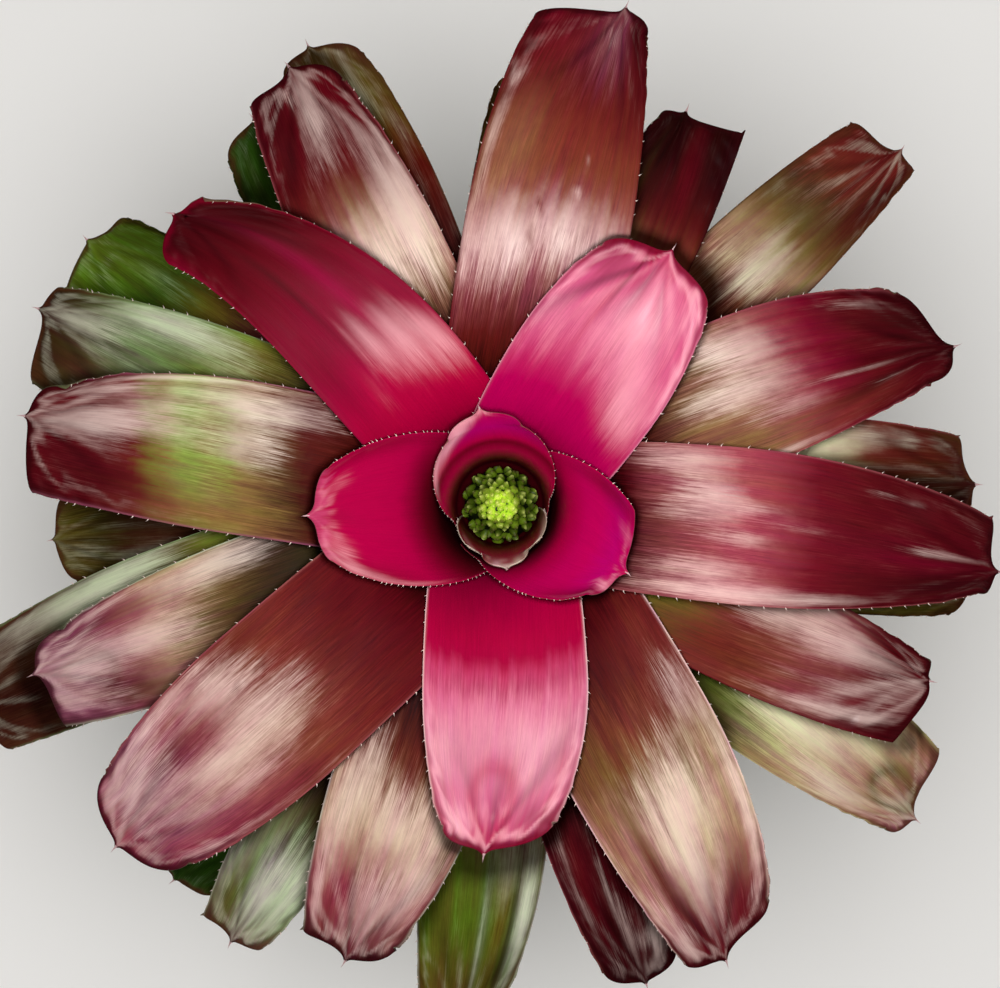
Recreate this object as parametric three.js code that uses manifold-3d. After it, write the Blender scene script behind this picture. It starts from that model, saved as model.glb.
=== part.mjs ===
// Neoregelia bromeliad in a plain pot. Millimetres, +Z up, origin at the centre of the pot's underside.
import * as THREE from "three";
import Module from "manifold-3d";

const wasm = await Module();
wasm.setup();

// pot and soil
const potHeight = 124;
const potTopRadius = 80;
const potFootRadius = 59;
const potWall = 1.8;
const potFloor = 2.4;
const potLip = 4;
const potLipDepth = 13;
const drainCount = 6;
const drainRadius = 5;
const drainCircle = 37;
const soilTop = 112;
const fitGap = 0.4;
const roundSides = 30;

// stem, a short cone that all the leaves stand on
const stemFootRadius = 24;
const stemDepth = 26;
const stemTop = 49;
const stemSides = 18;
const seatGap = 0.9;

// leaves
const leafThickness = 0.9;
const toothLength = 3;
const toothBase = 4.6;
const channelDepth = 3;
const spoonDepth = 4;
const leanShare = 0.04;
const stepLength = 2;

// how a leaf's lengthwise curve changes with its rank, from the innermost leaf (0) to the outermost (34)
const rankStops = [0, 1, 2, 3, 4, 6, 7, 12, 20, 34];
const family = {
  baseRadius: [9, 9.8, 10.6, 11.4, 12.2, 13.6, 14.3, 17.5, 21.5, 28],
  baseHeight: [48, 46.8, 45.4, 44, 42.6, 39.8, 38.4, 31.6, 21, 3],
  bowlAngle: [22, 22, 22, 22, 22, 22, 22, 24, 30, 38],
  bowlLength: [31, 35, 38, 39.5, 40.5, 43, 44, 45, 42, 34],
  wallAngle: [87, 87, 84, 83, 80, 78, 76, 68, 58, 46],
  wallLength: [26, 30, 24, 18, 12, 10, 10, 10, 10, 10],
  bendLength: [24, 40, 60, 64, 70, 78, 84, 95, 105, 110],
  bladeAngle: [70, 46, 34, 30, 27, 24.5, 23, 17, 11, 3],
  droop: [0, 0, 0.1, 0.1, 0.14, 0.135, 0.13, 0.11, 0.11, 0.115],
};

// One leaf a line, innermost first: rank, direction in degrees, how far the tip swings from it, reach of the
// tip from the plant's axis, half width, how much it narrows at the tip, where that starts along the leaf, how
// far the right and left corners of the tip fall back, sideways shift of the point, depth of the right and left
// margins' notch, half of the angle the sheath wraps, colour. Left and right are as seen from above, looking
// out from the axis.
const leafTable = [
  [0, -84, 0, 38, 34, 0.6, 0.7, 8, 8, 0, 0, 0, 88, 0xc0608a],
  [1, 102, 0, 58, 50, 0.55, 0.68, 9, 9, 0, 0, 0, 104, 0xb8105f],
  [2, -23, 0, 84, 55, 0.48, 0.55, 9, 2, -0.25, 0, 0, 72, 0xb5085f],
  [3, -177, 0, 112, 54, 0.5, 0.5, 6, 6, 0, 0, 0, 65, 0xb5085f],
  [4, 56, 0, 178, 50, 0.3, 0.62, 10, 13, 0, 0, 0, 62, 0xcf3a7c],
  [5, -87.5, -3, 203, 50, 0.38, 0.62, 12, 14, -0.25, 0, 0, 62, 0xcf4a80],
  [6, 127, 12, 255, 43.5, 0.54, 0.45, 8, 15, -0.15, 0, 0, 62, 0x9c1450],
  [7, -4.7, -1.2, 294, 46.5, 0.5, 0.55, 9, 10, 0, 0, 0, 62, 0x8a2c44],
  [8, -138.4, 0, 301, 51, 0.32, 0.65, 22, 24, 0, 0, 0, 62, 0x8f4a54],
  [9, 80.6, -1.2, 302, 49, 0.35, 0.6, 4, 14, -0.6, 0, 0, 62, 0x84424e],
  [10, -59.5, -2.5, 300, 49, 0.5, 0.6, 10, 22, 0, 0, 0, 62, 0x95605a],
  [11, 168.8, 3, 286, 46, 0.33, 0.6, 20, 9, -0.3, 0, 0, 62, 0x8a4a50],
  [12, 26, -4, 285, 46, 0.48, 0.6, 7, 25, -0.25, 0, 0, 62, 0x8b3f4c],
  [13, -108, -1.3, 286, 45, 0.42, 0.62, 8, 16, 0.1, 3, 0, 62, 0x935863],
  [14, 116.3, 0, 290, 41, 0.35, 0.6, 18, 24, -0.05, 0, 0, 62, 0x8c5660],
  [15, -25.8, 0, 282, 38, 0.4, 0.6, 8, 4, 0.5, 0, 0, 62, 0x88404a],
  [16, -158.4, 0, 298, 40, 0.25, 0.6, 30, 8, -0.2, 0, 3, 62, 0x805058],
  [17, 62, 0, 266, 35, 0.25, 0.6, 5, 10, 0.6, 0, 0, 62, 0x4e1820],
  [18, -73, 0, 303, 35, 0.4, 0.6, 14, 14, 0, 0, 0, 62, 0x54202c],
  [19, 159.5, 0, 305, 43, 0.33, 0.6, 10, 12, -0.4, 0, 0, 62, 0x6c7058],
  [20, 2.5, 0, 290, 46.5, 0.4, 0.6, 14, 10, 0, 0, 0, 60, 0x6c5a48],
  [21, -122, 0, 315, 38, 0.5, 0.5, 5, 8, 0.1, 3, 0, 60, 0x6c7a54],
  [22, 111.8, 0, 305, 39, 0.4, 0.6, 16, 12, 0.2, 0, 0, 62, 0x5c3c34],
  [23, -34.5, 0, 322, 42, 0.33, 0.6, 4, 12, -0.45, 0, 5, 62, 0x7f8060],
  [24, -161.6, 2.5, 350, 43.5, 0.25, 0.6, 14, 12, 0, 0, 0, 62, 0x6a625c],
  [25, 43.2, 0, 334, 35, 0.22, 0.6, 2, 12, -0.6, 0, 5, 62, 0x6e6040],
  [26, -92, -3, 332, 39, 0.45, 0.6, 12, 14, 0, 0, 0, 62, 0x5c6a34],
  [27, 122.5, 0, 285, 39, 0.34, 0.6, 14, 14, 0, 0, 0, 60, 0x3c5424],
  [28, -8, 0, 300, 38, 0.3, 0.6, 12, 14, 0, 0, 0, 58, 0x565a2c],
  [29, -131, 0, 313, 37, 0.35, 0.6, 12, 12, 0, 0, 0, 58, 0x34421c],
  [30, 85, 0, 275, 36, 0.35, 0.6, 14, 14, 0, 0, 0, 60, 0x3c3420],
  [31, -62, 0, 272, 36, 0.35, 0.6, 14, 14, 0, 0, 0, 60, 0x3a4420],
  [32, 150, 0, 312, 46, 0.2, 0.6, 16, 12, -0.4, 6, 0, 60, 0x4a6a24],
  [33, 24, 0, 272, 36, 0.35, 0.6, 14, 14, 0, 0, 0, 58, 0x3c4420],
  [34, -175.5, 0, 285, 36, 0.3, 0.6, 8, 14, 0, 0, 0, 60, 0x3a4020],
];

// flower head, a low dome of pointed buds sunk in the middle
const headRadius = 25;
const headFoot = stemTop + 0.3;
const headRim = 74;
const headTop = 94;
const budCount = 38;

function radians(degrees) {
  return degrees * Math.PI / 180;
}

function smooth(x) {
  const c = Math.min(1, Math.max(0, x));
  return c * c * (3 - 2 * c);
}

function paint(colour, roughness) {
  return new THREE.MeshStandardMaterial({ color: colour, roughness: roughness, metalness: 0 });
}

function atRank(stops, rank) {
  let i = 1;
  while (i < rankStops.length - 1 && rank > rankStops[i]) i += 1;
  const part = (rank - rankStops[i - 1]) / (rankStops[i] - rankStops[i - 1]);
  return stops[i - 1] + part * (stops[i] - stops[i - 1]);
}

// The curve of a leaf from its seat on the stem to its tip, as radius and height over the length along it:
// a bowl that turns up, a steep wall, a long bend outward, then the blade that slowly droops.
function leafCurve(rank, reach) {
  const bowl = atRank(family.bowlAngle, rank);
  const wall = atRank(family.wallAngle, rank);
  const blade = atRank(family.bladeAngle, rank);
  const bowlEnd = atRank(family.bowlLength, rank);
  const wallEnd = bowlEnd + atRank(family.wallLength, rank);
  const bend = atRank(family.bendLength, rank);
  const droop = atRank(family.droop, rank);
  const radius = [atRank(family.baseRadius, rank)];
  const height = [atRank(family.baseHeight, rank)];
  let s = 0;
  while (radius[radius.length - 1] < reach) {
    const turned = bowl + (wall - bowl) * smooth(s / bowlEnd);
    const opened = turned + (blade - wall) * smooth((s - wallEnd) / bend);
    const angle = radians(opened - droop * Math.max(0, s - wallEnd - 0.7 * bend));
    radius.push(radius[radius.length - 1] + Math.cos(angle) * stepLength);
    height.push(height[height.length - 1] + Math.sin(angle) * stepLength);
    s += stepLength;
  }
  const last = radius.length - 1;
  const over = (radius[last] - reach) / (radius[last] - radius[last - 1]);
  return { radius, height, length: s - over * stepLength, bowlEnd, wallEnd, bendEnd: wallEnd + bend };
}

function sample(values, s) {
  const x = Math.min(values.length - 1.001, Math.max(0, s / stepLength));
  const i = Math.floor(x);
  return values[i] + (x - i) * (values[i + 1] - values[i]);
}

function readLeaf(line, index) {
  const [rank, direction, swing, reach, half, narrowing, narrowFrom, backRight, backLeft, shift,
    notchRight, notchLeft, wrap, colour] = line;
  return { index, rank, direction, swing, reach, half, narrowing, narrowFrom, backRight, backLeft, shift,
    notchRight, notchLeft, wrap, colour, curve: leafCurve(rank, reach) };
}

// A point of the leaf's middle surface: t runs from seat to tip, v from the right margin (-1) to the left (1).
// The free blade is a shallow channel that leans a little to one side, and its tip is cupped like a spoon.
function leafPoint(leaf, t, v) {
  const curve = leaf.curve;
  const side = Math.abs(v);
  const back = v > 0 ? leaf.backLeft : leaf.backRight;
  const notch = v > 0 ? leaf.notchLeft : leaf.notchRight;
  const fall = 5 * (1 - Math.exp(-side / 0.1)) + notch * Math.sin(Math.PI * side)
    + back * (1 - Math.sqrt(Math.max(0, 1 - side ** 2.4)));
  const s = t * curve.length - fall * t ** 6;
  const before = Math.max(0, leaf.narrowFrom - t) / leaf.narrowFrom;
  const after = Math.max(0, t - leaf.narrowFrom) / (1 - leaf.narrowFrom);
  const free = leaf.half * (1 - 0.06 * before ** 2 - leaf.narrowing * after ** 2);
  const width = Math.min(free, sample(curve.radius, t * curve.length) * radians(leaf.wrap));
  const across = width * (v + leaf.shift * (1 - v * v) * t ** 3);
  const radius = sample(curve.radius, s);
  const angle = radians(leaf.direction + leaf.swing * t ** 3) + across / radius;
  const open = smooth((t * curve.length - curve.wallEnd) / 90);
  const raised = open * (channelDepth * v * v + leanShare * Math.sin(2.4 * leaf.rank) * across)
    + spoonDepth * v * v * smooth((t - 0.8) / 0.2);
  const height = soilTop + sample(curve.height, s) + raised;
  return new THREE.Vector3(radius * Math.cos(angle), radius * Math.sin(angle), height);
}

function leafSlopes(leaf, t, v) {
  const e = 0.004;
  const t1 = Math.min(1, t + e);
  const v1 = Math.min(1, v + e);
  const along = leafPoint(leaf, t1, v).sub(leafPoint(leaf, t1 - e, v)).normalize();
  const across = leafPoint(leaf, t, v1).sub(leafPoint(leaf, t, v1 - e)).normalize();
  return { along, across, up: along.clone().cross(across).normalize() };
}

// rows of the leaf's grid lie at the same places on every leaf, so that neighbours bend alike
function leafRows(leaf) {
  const { bowlEnd, wallEnd, bendEnd, length } = leaf.curve;
  const rows = [0, bowlEnd * 0.5, bowlEnd, wallEnd];
  for (const part of [0.25, 0.5, 0.75, 1]) rows.push(wallEnd + part * (bendEnd - wallEnd));
  const kept = rows.filter((s) => s < length - 10);
  const from = kept[kept.length - 1];
  const pieces = Math.max(1, Math.ceil((length - from) / 46));
  for (let i = 1; i <= pieces; i += 1) kept.push(from + (length - from) * i / pieces);
  return kept.map((s) => s / length);
}

// A leaf as one closed solid: a grid of upper points, the same grid below, a rim, and teeth along both margins.
function leafSolid(leaf) {
  const rows = leafRows(leaf);
  const half = leaf.wrap > 80 ? [0.24, 0.4, 0.56, 0.78, 1] : [0.28, 0.66, 1];
  const columns = [...half.map((v) => -v).reverse(), 0, ...half];
  const upper = [];
  const lower = [];
  const faces = [];
  const addPoint = (p, up) => {
    upper.push(p.clone().addScaledVector(up, leafThickness / 2));
    lower.push(p.clone().addScaledVector(up, -leafThickness / 2));
    return upper.length - 1;
  };
  const grid = rows.map((t) => columns.map((v) => addPoint(leafPoint(leaf, t, v), leafSlopes(leaf, t, v).up)));
  const last = columns.length - 1;
  const margins = { "-1": [grid[0][0]], "1": [grid[0][last]] };
  for (let i = 0; i < rows.length - 1; i += 1) {
    for (let j = 1; j < last - 1; j += 1) {
      const [a, b, c, d] = [grid[i][j], grid[i + 1][j], grid[i + 1][j + 1], grid[i][j + 1]];
      faces.push([a, b, c], [a, c, d]);
    }
    for (const side of [-1, 1]) {
      const edge = side < 0 ? 0 : last;
      const [a, b, p, q] = [grid[i][edge - side], grid[i + 1][edge - side], grid[i][edge], grid[i + 1][edge]];
      const turn = (f) => faces.push(side < 0 ? [f[0], f[2], f[1]] : f);
      const span = (rows[i + 1] - rows[i]) * leaf.curve.length;
      if (rows[i] * leaf.curve.length < leaf.curve.wallEnd + 4 || span < 2 * toothBase) {
        turn([a, b, q]);
        turn([a, q, p]);
        margins[side].push(q);
        continue;
      }
      const t = rows[i + 1] - (rows[i + 1] - rows[i]) * toothBase / span;
      const foot = leafSlopes(leaf, t, side);
      const start = addPoint(leafPoint(leaf, t, side), foot.up);
      const middle = leafPoint(leaf, (t + rows[i + 1]) / 2, side);
      const tip = middle.addScaledVector(foot.across, side * toothLength).addScaledVector(foot.along, 1.2);
      const apex = addPoint(tip, foot.up);
      turn([a, b, start]);
      turn([a, start, p]);
      turn([b, q, start]);
      turn([start, q, apex]);
      margins[side].push(start, apex, q);
    }
  }
  const end = grid[rows.length - 1];
  const seat = grid[0].slice(1, last).reverse();
  const loop = [...margins["-1"], ...end.slice(1, last), ...margins["1"].reverse(), ...seat];
  return closedSheet(upper, lower, faces, loop);
}

function closedSheet(upper, lower, faces, loop) {
  const count = upper.length;
  const index = [];
  for (const [a, b, c] of faces) index.push(a, b, c, a + count, c + count, b + count);
  loop.forEach((a, i) => {
    const b = loop[(i + 1) % loop.length];
    index.push(a, a + count, b, b, a + count, b + count);
  });
  const geometry = new THREE.BufferGeometry();
  const flat = [...upper, ...lower].flatMap((p) => [p.x, p.y, p.z]);
  geometry.setAttribute("position", new THREE.Float32BufferAttribute(flat, 3));
  geometry.setIndex(index);
  geometry.computeVertexNormals();
  return geometry;
}

function turned(points, segments) {
  const profile = points.map(([x, y]) => new THREE.Vector2(x, y));
  const geometry = new THREE.LatheGeometry(profile, segments);
  geometry.rotateX(Math.PI / 2);
  return geometry;
}

// merged corners and outward faces, ready for a boolean
function toManifold(geometry) {
  const source = geometry.index ? geometry.toNonIndexed() : geometry;
  const position = source.attributes.position;
  const keys = new Map();
  const points = [];
  const corners = [];
  for (let i = 0; i < position.count; i += 1) {
    const p = [position.getX(i), position.getY(i), position.getZ(i)].map((x) => Math.round(x * 1e4) / 1e4 + 0);
    const key = p.join(",");
    if (!keys.has(key)) {
      keys.set(key, points.length / 3);
      points.push(...p);
    }
    corners.push(keys.get(key));
  }
  const index = [];
  let volume = 0;
  const at = (k) => new THREE.Vector3(points[3 * k], points[3 * k + 1], points[3 * k + 2]);
  for (let i = 0; i < corners.length; i += 3) {
    const [a, b, c] = corners.slice(i, i + 3);
    if (a === b || b === c || c === a) continue;
    index.push(a, b, c);
    volume += at(a).dot(at(b).cross(at(c)));
  }
  if (volume < 0) {
    for (let i = 0; i < index.length; i += 3) [index[i], index[i + 1]] = [index[i + 1], index[i]];
  }
  const vertProperties = new Float32Array(points);
  return new wasm.Manifold(new wasm.Mesh({ numProp: 3, vertProperties, triVerts: new Uint32Array(index) }));
}

function toGeometry(solid) {
  const mesh = solid.getMesh();
  const geometry = new THREE.BufferGeometry();
  geometry.setAttribute("position", new THREE.Float32BufferAttribute(Array.from(mesh.vertProperties), 3));
  geometry.setIndex(Array.from(mesh.triVerts));
  geometry.computeVertexNormals();
  return geometry;
}

function potRadius(z) {
  return potFootRadius + (potTopRadius - potFootRadius) * z / potHeight;
}

// tapered pot with a thicker lip, an open top and drain holes in the floor
function makePot() {
  const lipFoot = potHeight - potLipDepth;
  const profile = [
    [0, 0], [potFootRadius, 0], [potRadius(lipFoot), lipFoot], [potRadius(lipFoot) + potLip, lipFoot + 1.5],
    [potTopRadius + potLip, potHeight - 1], [potTopRadius + potLip - 1, potHeight],
    [potTopRadius - potWall + 0.6, potHeight], [potTopRadius - potWall, potHeight - 0.6],
    [potRadius(potFloor) - potWall, potFloor], [0, potFloor], [0, 0],
  ];
  let pot = toManifold(turned(profile, roundSides));
  for (let i = 0; i < drainCount; i += 1) {
    const hole = new THREE.CylinderGeometry(drainRadius, drainRadius, 12, 8);
    hole.rotateX(Math.PI / 2);
    const angle = 2 * Math.PI * i / drainCount;
    hole.translate(drainCircle * Math.cos(angle), drainCircle * Math.sin(angle), 0);
    pot = pot.subtract(toManifold(hole));
  }
  return toGeometry(pot);
}

// the stem's radius at a height above the soil, just inside the ring of leaf seats there
function stemRadius(z) {
  let i = 1;
  while (i < rankStops.length - 1 && z < family.baseHeight[i]) i += 1;
  const [z0, z1] = [family.baseHeight[i - 1], family.baseHeight[i]];
  const [r0, r1] = [family.baseRadius[i - 1], family.baseRadius[i]];
  return r0 + (r1 - r0) * (z0 - z) / (z0 - z1) - seatGap;
}

function makeStem() {
  const stem = [[0, soilTop - stemDepth], [stemFootRadius, soilTop - stemDepth], [stemFootRadius, soilTop - 1]];
  for (const z of [3, 12, 21, 31.6, 38.4, 42.6, 46.8]) stem.push([stemRadius(z), soilTop + z]);
  stem.push([stemRadius(46.8) - 0.6, soilTop + stemTop], [0, soilTop + stemTop], [0, soilTop - stemDepth]);
  return turned(stem, stemSides);
}

// soil with a plain hole the stem stands in, slightly heaped towards the middle
function makeSoil() {
  const foot = potFloor + fitGap;
  const hole = stemFootRadius + fitGap;
  const profile = [
    [0, foot], [potRadius(foot) - potWall - fitGap, foot],
    [potRadius(soilTop - 4) - potWall - fitGap, soilTop - 4], [60, soilTop - 2.5], [40, soilTop - 1.2],
    [hole, soilTop - 1.2], [hole, soilTop - stemDepth - fitGap],
    [0, soilTop - stemDepth - fitGap], [0, foot],
  ];
  return turned(profile, roundSides);
}

// one pointed bud: a four-sided spindle, widest a third of the way up
function makeBud(length, width) {
  return turned([[0, -length * 0.5], [width, 0], [0, length], [0, -length * 0.5]], 4);
}

function headHeight(radius) {
  const part = Math.min(1, radius / headRadius);
  return headRim + (headTop - headRim) * (1 - part ** 2.2) * 0.8;
}

function makeHead() {
  const core = [
    [0, headFoot], [7, headFoot], [16, headFoot + 7.5], [headRadius - 3.5, headRim - 9],
    [headRadius - 2.5, headRim - 2], [headRadius * 0.7, headHeight(headRadius * 0.7) - 3],
    [headRadius * 0.36, headHeight(headRadius * 0.36) - 3], [0, headHeight(0) - 3], [0, headFoot],
  ];
  let head = toManifold(turned(core, 16));
  for (let i = 0; i < budCount; i += 1) {
    const part = Math.sqrt((i + 0.4) / budCount);
    const radius = (headRadius - 3.4) * part;
    const bud = makeBud(9 - 2.5 * part, 2.9);
    bud.rotateZ(0.4 * i);
    bud.rotateY(radians(6 + 30 * part));
    bud.translate(radius, 0, headHeight(radius) - 3.2);
    bud.rotateZ(radians(137.5 * i));
    head = head.add(toManifold(bud));
  }
  const solid = toGeometry(head);
  solid.translate(0, 0, soilTop);
  return solid;
}

function named(name, geometry, colour, roughness) {
  const mesh = new THREE.Mesh(geometry, paint(colour, roughness));
  mesh.name = name;
  return mesh;
}

const plant = new THREE.Group();
plant.name = "neoregelia";
leafTable.forEach((line, i) => {
  const leaf = readLeaf(line, i);
  plant.add(named("leaf_" + String(i + 1).padStart(2, "0"), leafSolid(leaf), leaf.colour, 0.42));
});
plant.add(named("flower_head", makeHead(), 0x86a02c, 0.5));
plant.add(named("stem", makeStem(), 0x6a6a3c, 0.7));
plant.add(named("soil", makeSoil(), 0x2c2018, 0.95));
plant.add(named("pot", makePot(), 0x2b2d2c, 0.6));

export default plant;
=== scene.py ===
import math
import bpy
import numpy as np
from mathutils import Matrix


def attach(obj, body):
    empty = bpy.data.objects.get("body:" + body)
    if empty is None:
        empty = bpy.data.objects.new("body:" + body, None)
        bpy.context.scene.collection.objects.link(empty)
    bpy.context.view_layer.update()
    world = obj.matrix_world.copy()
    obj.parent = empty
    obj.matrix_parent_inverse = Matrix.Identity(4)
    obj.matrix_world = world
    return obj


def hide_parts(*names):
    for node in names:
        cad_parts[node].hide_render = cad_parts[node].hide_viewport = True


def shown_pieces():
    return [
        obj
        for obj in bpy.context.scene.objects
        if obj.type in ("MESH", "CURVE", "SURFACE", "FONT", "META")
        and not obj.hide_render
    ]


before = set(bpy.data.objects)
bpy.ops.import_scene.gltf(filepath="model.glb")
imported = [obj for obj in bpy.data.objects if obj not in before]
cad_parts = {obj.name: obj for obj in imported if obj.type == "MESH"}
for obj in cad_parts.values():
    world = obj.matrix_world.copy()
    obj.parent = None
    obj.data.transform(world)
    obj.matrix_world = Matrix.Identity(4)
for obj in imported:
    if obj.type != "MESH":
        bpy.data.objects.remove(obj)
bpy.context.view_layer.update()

# Shapes are worked out in millimetres, and written to the meshes in metres.
metre = 0.001

palette = {
    "magenta": "bc0054", "violet": "b20066", "crimson": "b20042", "scarlet": "b2003a", "pink": "d25480",
    "palePink": "da8aa0", "blush": "f0c4c6", "deepCrimson": "70041e", "ruby": "86082e", "roseRed": "a03e4c",
    "wineRed": "5c0814", "wine": "460810", "darkWine": "2c060a", "maroon": "1e0404", "wineBrown": "621414",
    "redBrown": "5a120c", "rustRed": "782822", "rust": "7e3c2a", "brown": "462416", "rose": "964a50",
    "tan": "98684a", "paleTan": "b8927a", "cream": "ccc08c", "mauve": "8e4e62", "plum": "62203c",
    "olive": "5e4e1c", "oliveTan": "866838", "darkOlive": "2a220a", "leafGreen": "566c18",
    "yellowGreen": "727f2c", "deepGreen": "28420f", "springGreen": "7c8c34", "greyGreen": "72805a",
    "silver": "b0b0a2", "mustard": "6a601c", "bark": "4a3a22", "straw": "e8d8c4", "spine": "f4ddd2",
    "bloomWine": "f2dcd2", "bloomGreen": "e4e4cc", "scurf": "6f7a58",
    "bud": "f0fc86", "budBright": "d8f84c", "budOuter": "5e7814", "budDeep": "5c8018", "budDark": "0e1404",
    "potLight": "34373a", "potDark": "1c1e20", "soilLight": "5a4632", "soilDark": "17100b",
    "stemLight": "7c7a4a", "stemDark": "3d3a20", "floor": "f3f1ee",
}


def smooth(x):
    # 0 below 0, 1 above 1, and an S-shaped rise between them
    c = np.clip(x, 0, 1)
    return c * c * (3 - 2 * c)


def colour(name):
    # sRGB hex to linear light
    raw = np.array([int(palette[name][k:k + 2], 16) for k in (0, 2, 4)]) / 255
    return np.where(raw <= 0.04045, raw / 12.92, ((raw + 0.055) / 1.055) ** 2.4)


def gridQuads(rows, columns, offset=0, flip=False):
    # quads between the points of a grid that is numbered row by row
    i, j = np.meshgrid(np.arange(rows - 1), np.arange(columns - 1), indexing="ij")
    a = (i * columns + j).ravel() + offset
    quads = np.stack([a, a + columns, a + columns + 1, a + 1], 1)
    return quads[:, ::-1] if flip else quads


def closedSheet(upper, lower):
    # upper grid, lower grid and a rim of quads round both
    rows, columns = upper.shape[:2]
    count = rows * columns
    right = np.arange(rows - 1) * columns
    end = (rows - 1) * columns + np.arange(columns - 1)
    left = np.arange(rows - 1, 0, -1) * columns + columns - 1
    seat = np.arange(columns - 1, 0, -1)
    ring = np.concatenate([right, end, left, seat])
    onward = np.roll(ring, -1)
    rim = np.stack([ring, ring + count, onward + count, onward], 1)
    quads = np.concatenate([gridQuads(rows, columns), gridQuads(rows, columns, count, True), rim])
    return np.concatenate([upper.reshape(-1, 3), lower.reshape(-1, 3)]), quads, np.zeros((0, 3), int)


def ringQuads(rings, sides):
    # quads between rings of points that follow each other along a round shape
    k = np.arange(sides)
    onward = (k + 1) % sides
    return np.concatenate([np.stack([k + r * sides, onward + r * sides, onward + (r + 1) * sides,
                                     k + (r + 1) * sides], 1) for r in range(rings - 1)])


def endFans(rings, sides):
    # triangles from the first and the last ring to the two end points, which are numbered after the rings
    k = np.arange(sides)
    onward = (k + 1) % sides
    last = (rings - 1) * sides
    first = np.stack([onward, k, np.full(sides, rings * sides)], 1)
    return np.concatenate([first, np.stack([k + last, onward + last, np.full(sides, rings * sides + 1)], 1)])


def turnedShape(profile, sides, change=None):
    # a closed profile of (radius, height) from the axis back to the axis, carried round it
    inner = np.array(profile[1:-1], float)
    ring = np.arange(sides) * 2 * np.pi / sides
    radius, height = inner[:, :1] * np.ones(sides), inner[:, 1:] * np.ones(sides)
    if change is not None:
        radius, height = change(radius, height, ring[None, :])
    grid = np.stack([radius * np.cos(ring), radius * np.sin(ring), height], -1)
    ends = np.array([[0, 0, profile[0][1]], [0, 0, profile[-1][1]]], float)
    points = np.concatenate([grid.reshape(-1, 3), ends])
    return points, ringQuads(len(inner), sides), endFans(len(inner), sides)


def joined(shapes):
    # shapes of (points, quads, triangles) as one, with the numbers of each moved past the points before it
    points, quads, triangles = zip(*shapes)
    starts = np.cumsum([0] + [len(block) for block in points[:-1]])
    return (np.concatenate(points), np.concatenate([block + start for block, start in zip(quads, starts)]),
            np.concatenate([block + start for block, start in zip(triangles, starts)]))


def buildMesh(name, shape, values=None, uv=None):
    # values holds one array for each point attribute: three columns for a colour, one for a number
    points, quads, triangles = shape
    mesh = bpy.data.meshes.new(name)
    corners = np.concatenate([quads.ravel(), triangles.ravel()]).astype(np.int32)
    sizes = np.concatenate([np.full(len(quads), 4), np.full(len(triangles), 3)])
    starts = np.concatenate([[0], np.cumsum(sizes)[:-1]]).astype(np.int32)
    mesh.vertices.add(len(points))
    mesh.vertices.foreach_set("co", (points * metre).astype(np.float32).ravel())
    mesh.loops.add(len(corners))
    mesh.loops.foreach_set("vertex_index", corners)
    mesh.polygons.add(len(sizes))
    mesh.polygons.foreach_set("loop_start", starts)
    mesh.polygons.foreach_set("use_smooth", np.ones(len(sizes), bool))
    mesh.update(calc_edges=True)
    for key, value in (values or {}).items():
        if value.ndim == 2:
            layer = mesh.attributes.new(key, "FLOAT_COLOR", "POINT")
            rgba = np.concatenate([value, np.ones((len(value), 1))], 1)
            layer.data.foreach_set("color", rgba.astype(np.float32).ravel())
        else:
            layer = mesh.attributes.new(key, "FLOAT", "POINT")
            layer.data.foreach_set("value", value.astype(np.float32))
    if uv is not None:
        layer = mesh.uv_layers.new(name="blade")
        layer.data.foreach_set("uv", uv[corners].astype(np.float32).ravel())
    piece = bpy.data.objects.new(name, mesh)
    bpy.context.scene.collection.objects.link(piece)
    return piece


def place(piece, slot, material, *nodes):
    # the piece stands for its CAD nodes, moves with the one body and takes the finish of its slot
    piece.data.materials.append(material)
    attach(piece, "root")
    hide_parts(*nodes)


# ---- leaves: how the lengthwise curve changes with rank, from the innermost leaf (0) to the outermost (34)
leafFamily = {
    "rank": [0, 1, 2, 3, 4, 6, 7, 12, 20, 34],
    "baseRadius": [9, 9.8, 10.6, 11.4, 12.2, 13.6, 14.3, 17.5, 21.5, 28],
    "baseHeight": [48, 46.8, 45.4, 44, 42.6, 39.8, 38.4, 31.6, 21, 3],
    "bowlAngle": [22, 22, 22, 22, 22, 22, 22, 24, 30, 38],
    "bowlLength": [28.5, 31.5, 37, 39.5, 40.5, 43, 44, 45, 42, 34],
    "wallAngle": [87, 87, 84, 83, 80, 78, 76, 68, 58, 46],
    "wallLength": [26, 30, 24, 18, 12, 10, 10, 10, 10, 10],
    "bendLength": [24, 40, 60, 64, 70, 78, 84, 95, 105, 110],
    "bladeAngle": [70, 46, 34, 30, 27, 24.5, 23, 17, 11, 3],
    "droop": [0, 0, 0.1, 0.1, 0.14, 0.135, 0.13, 0.11, 0.11, 0.115],
}

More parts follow.
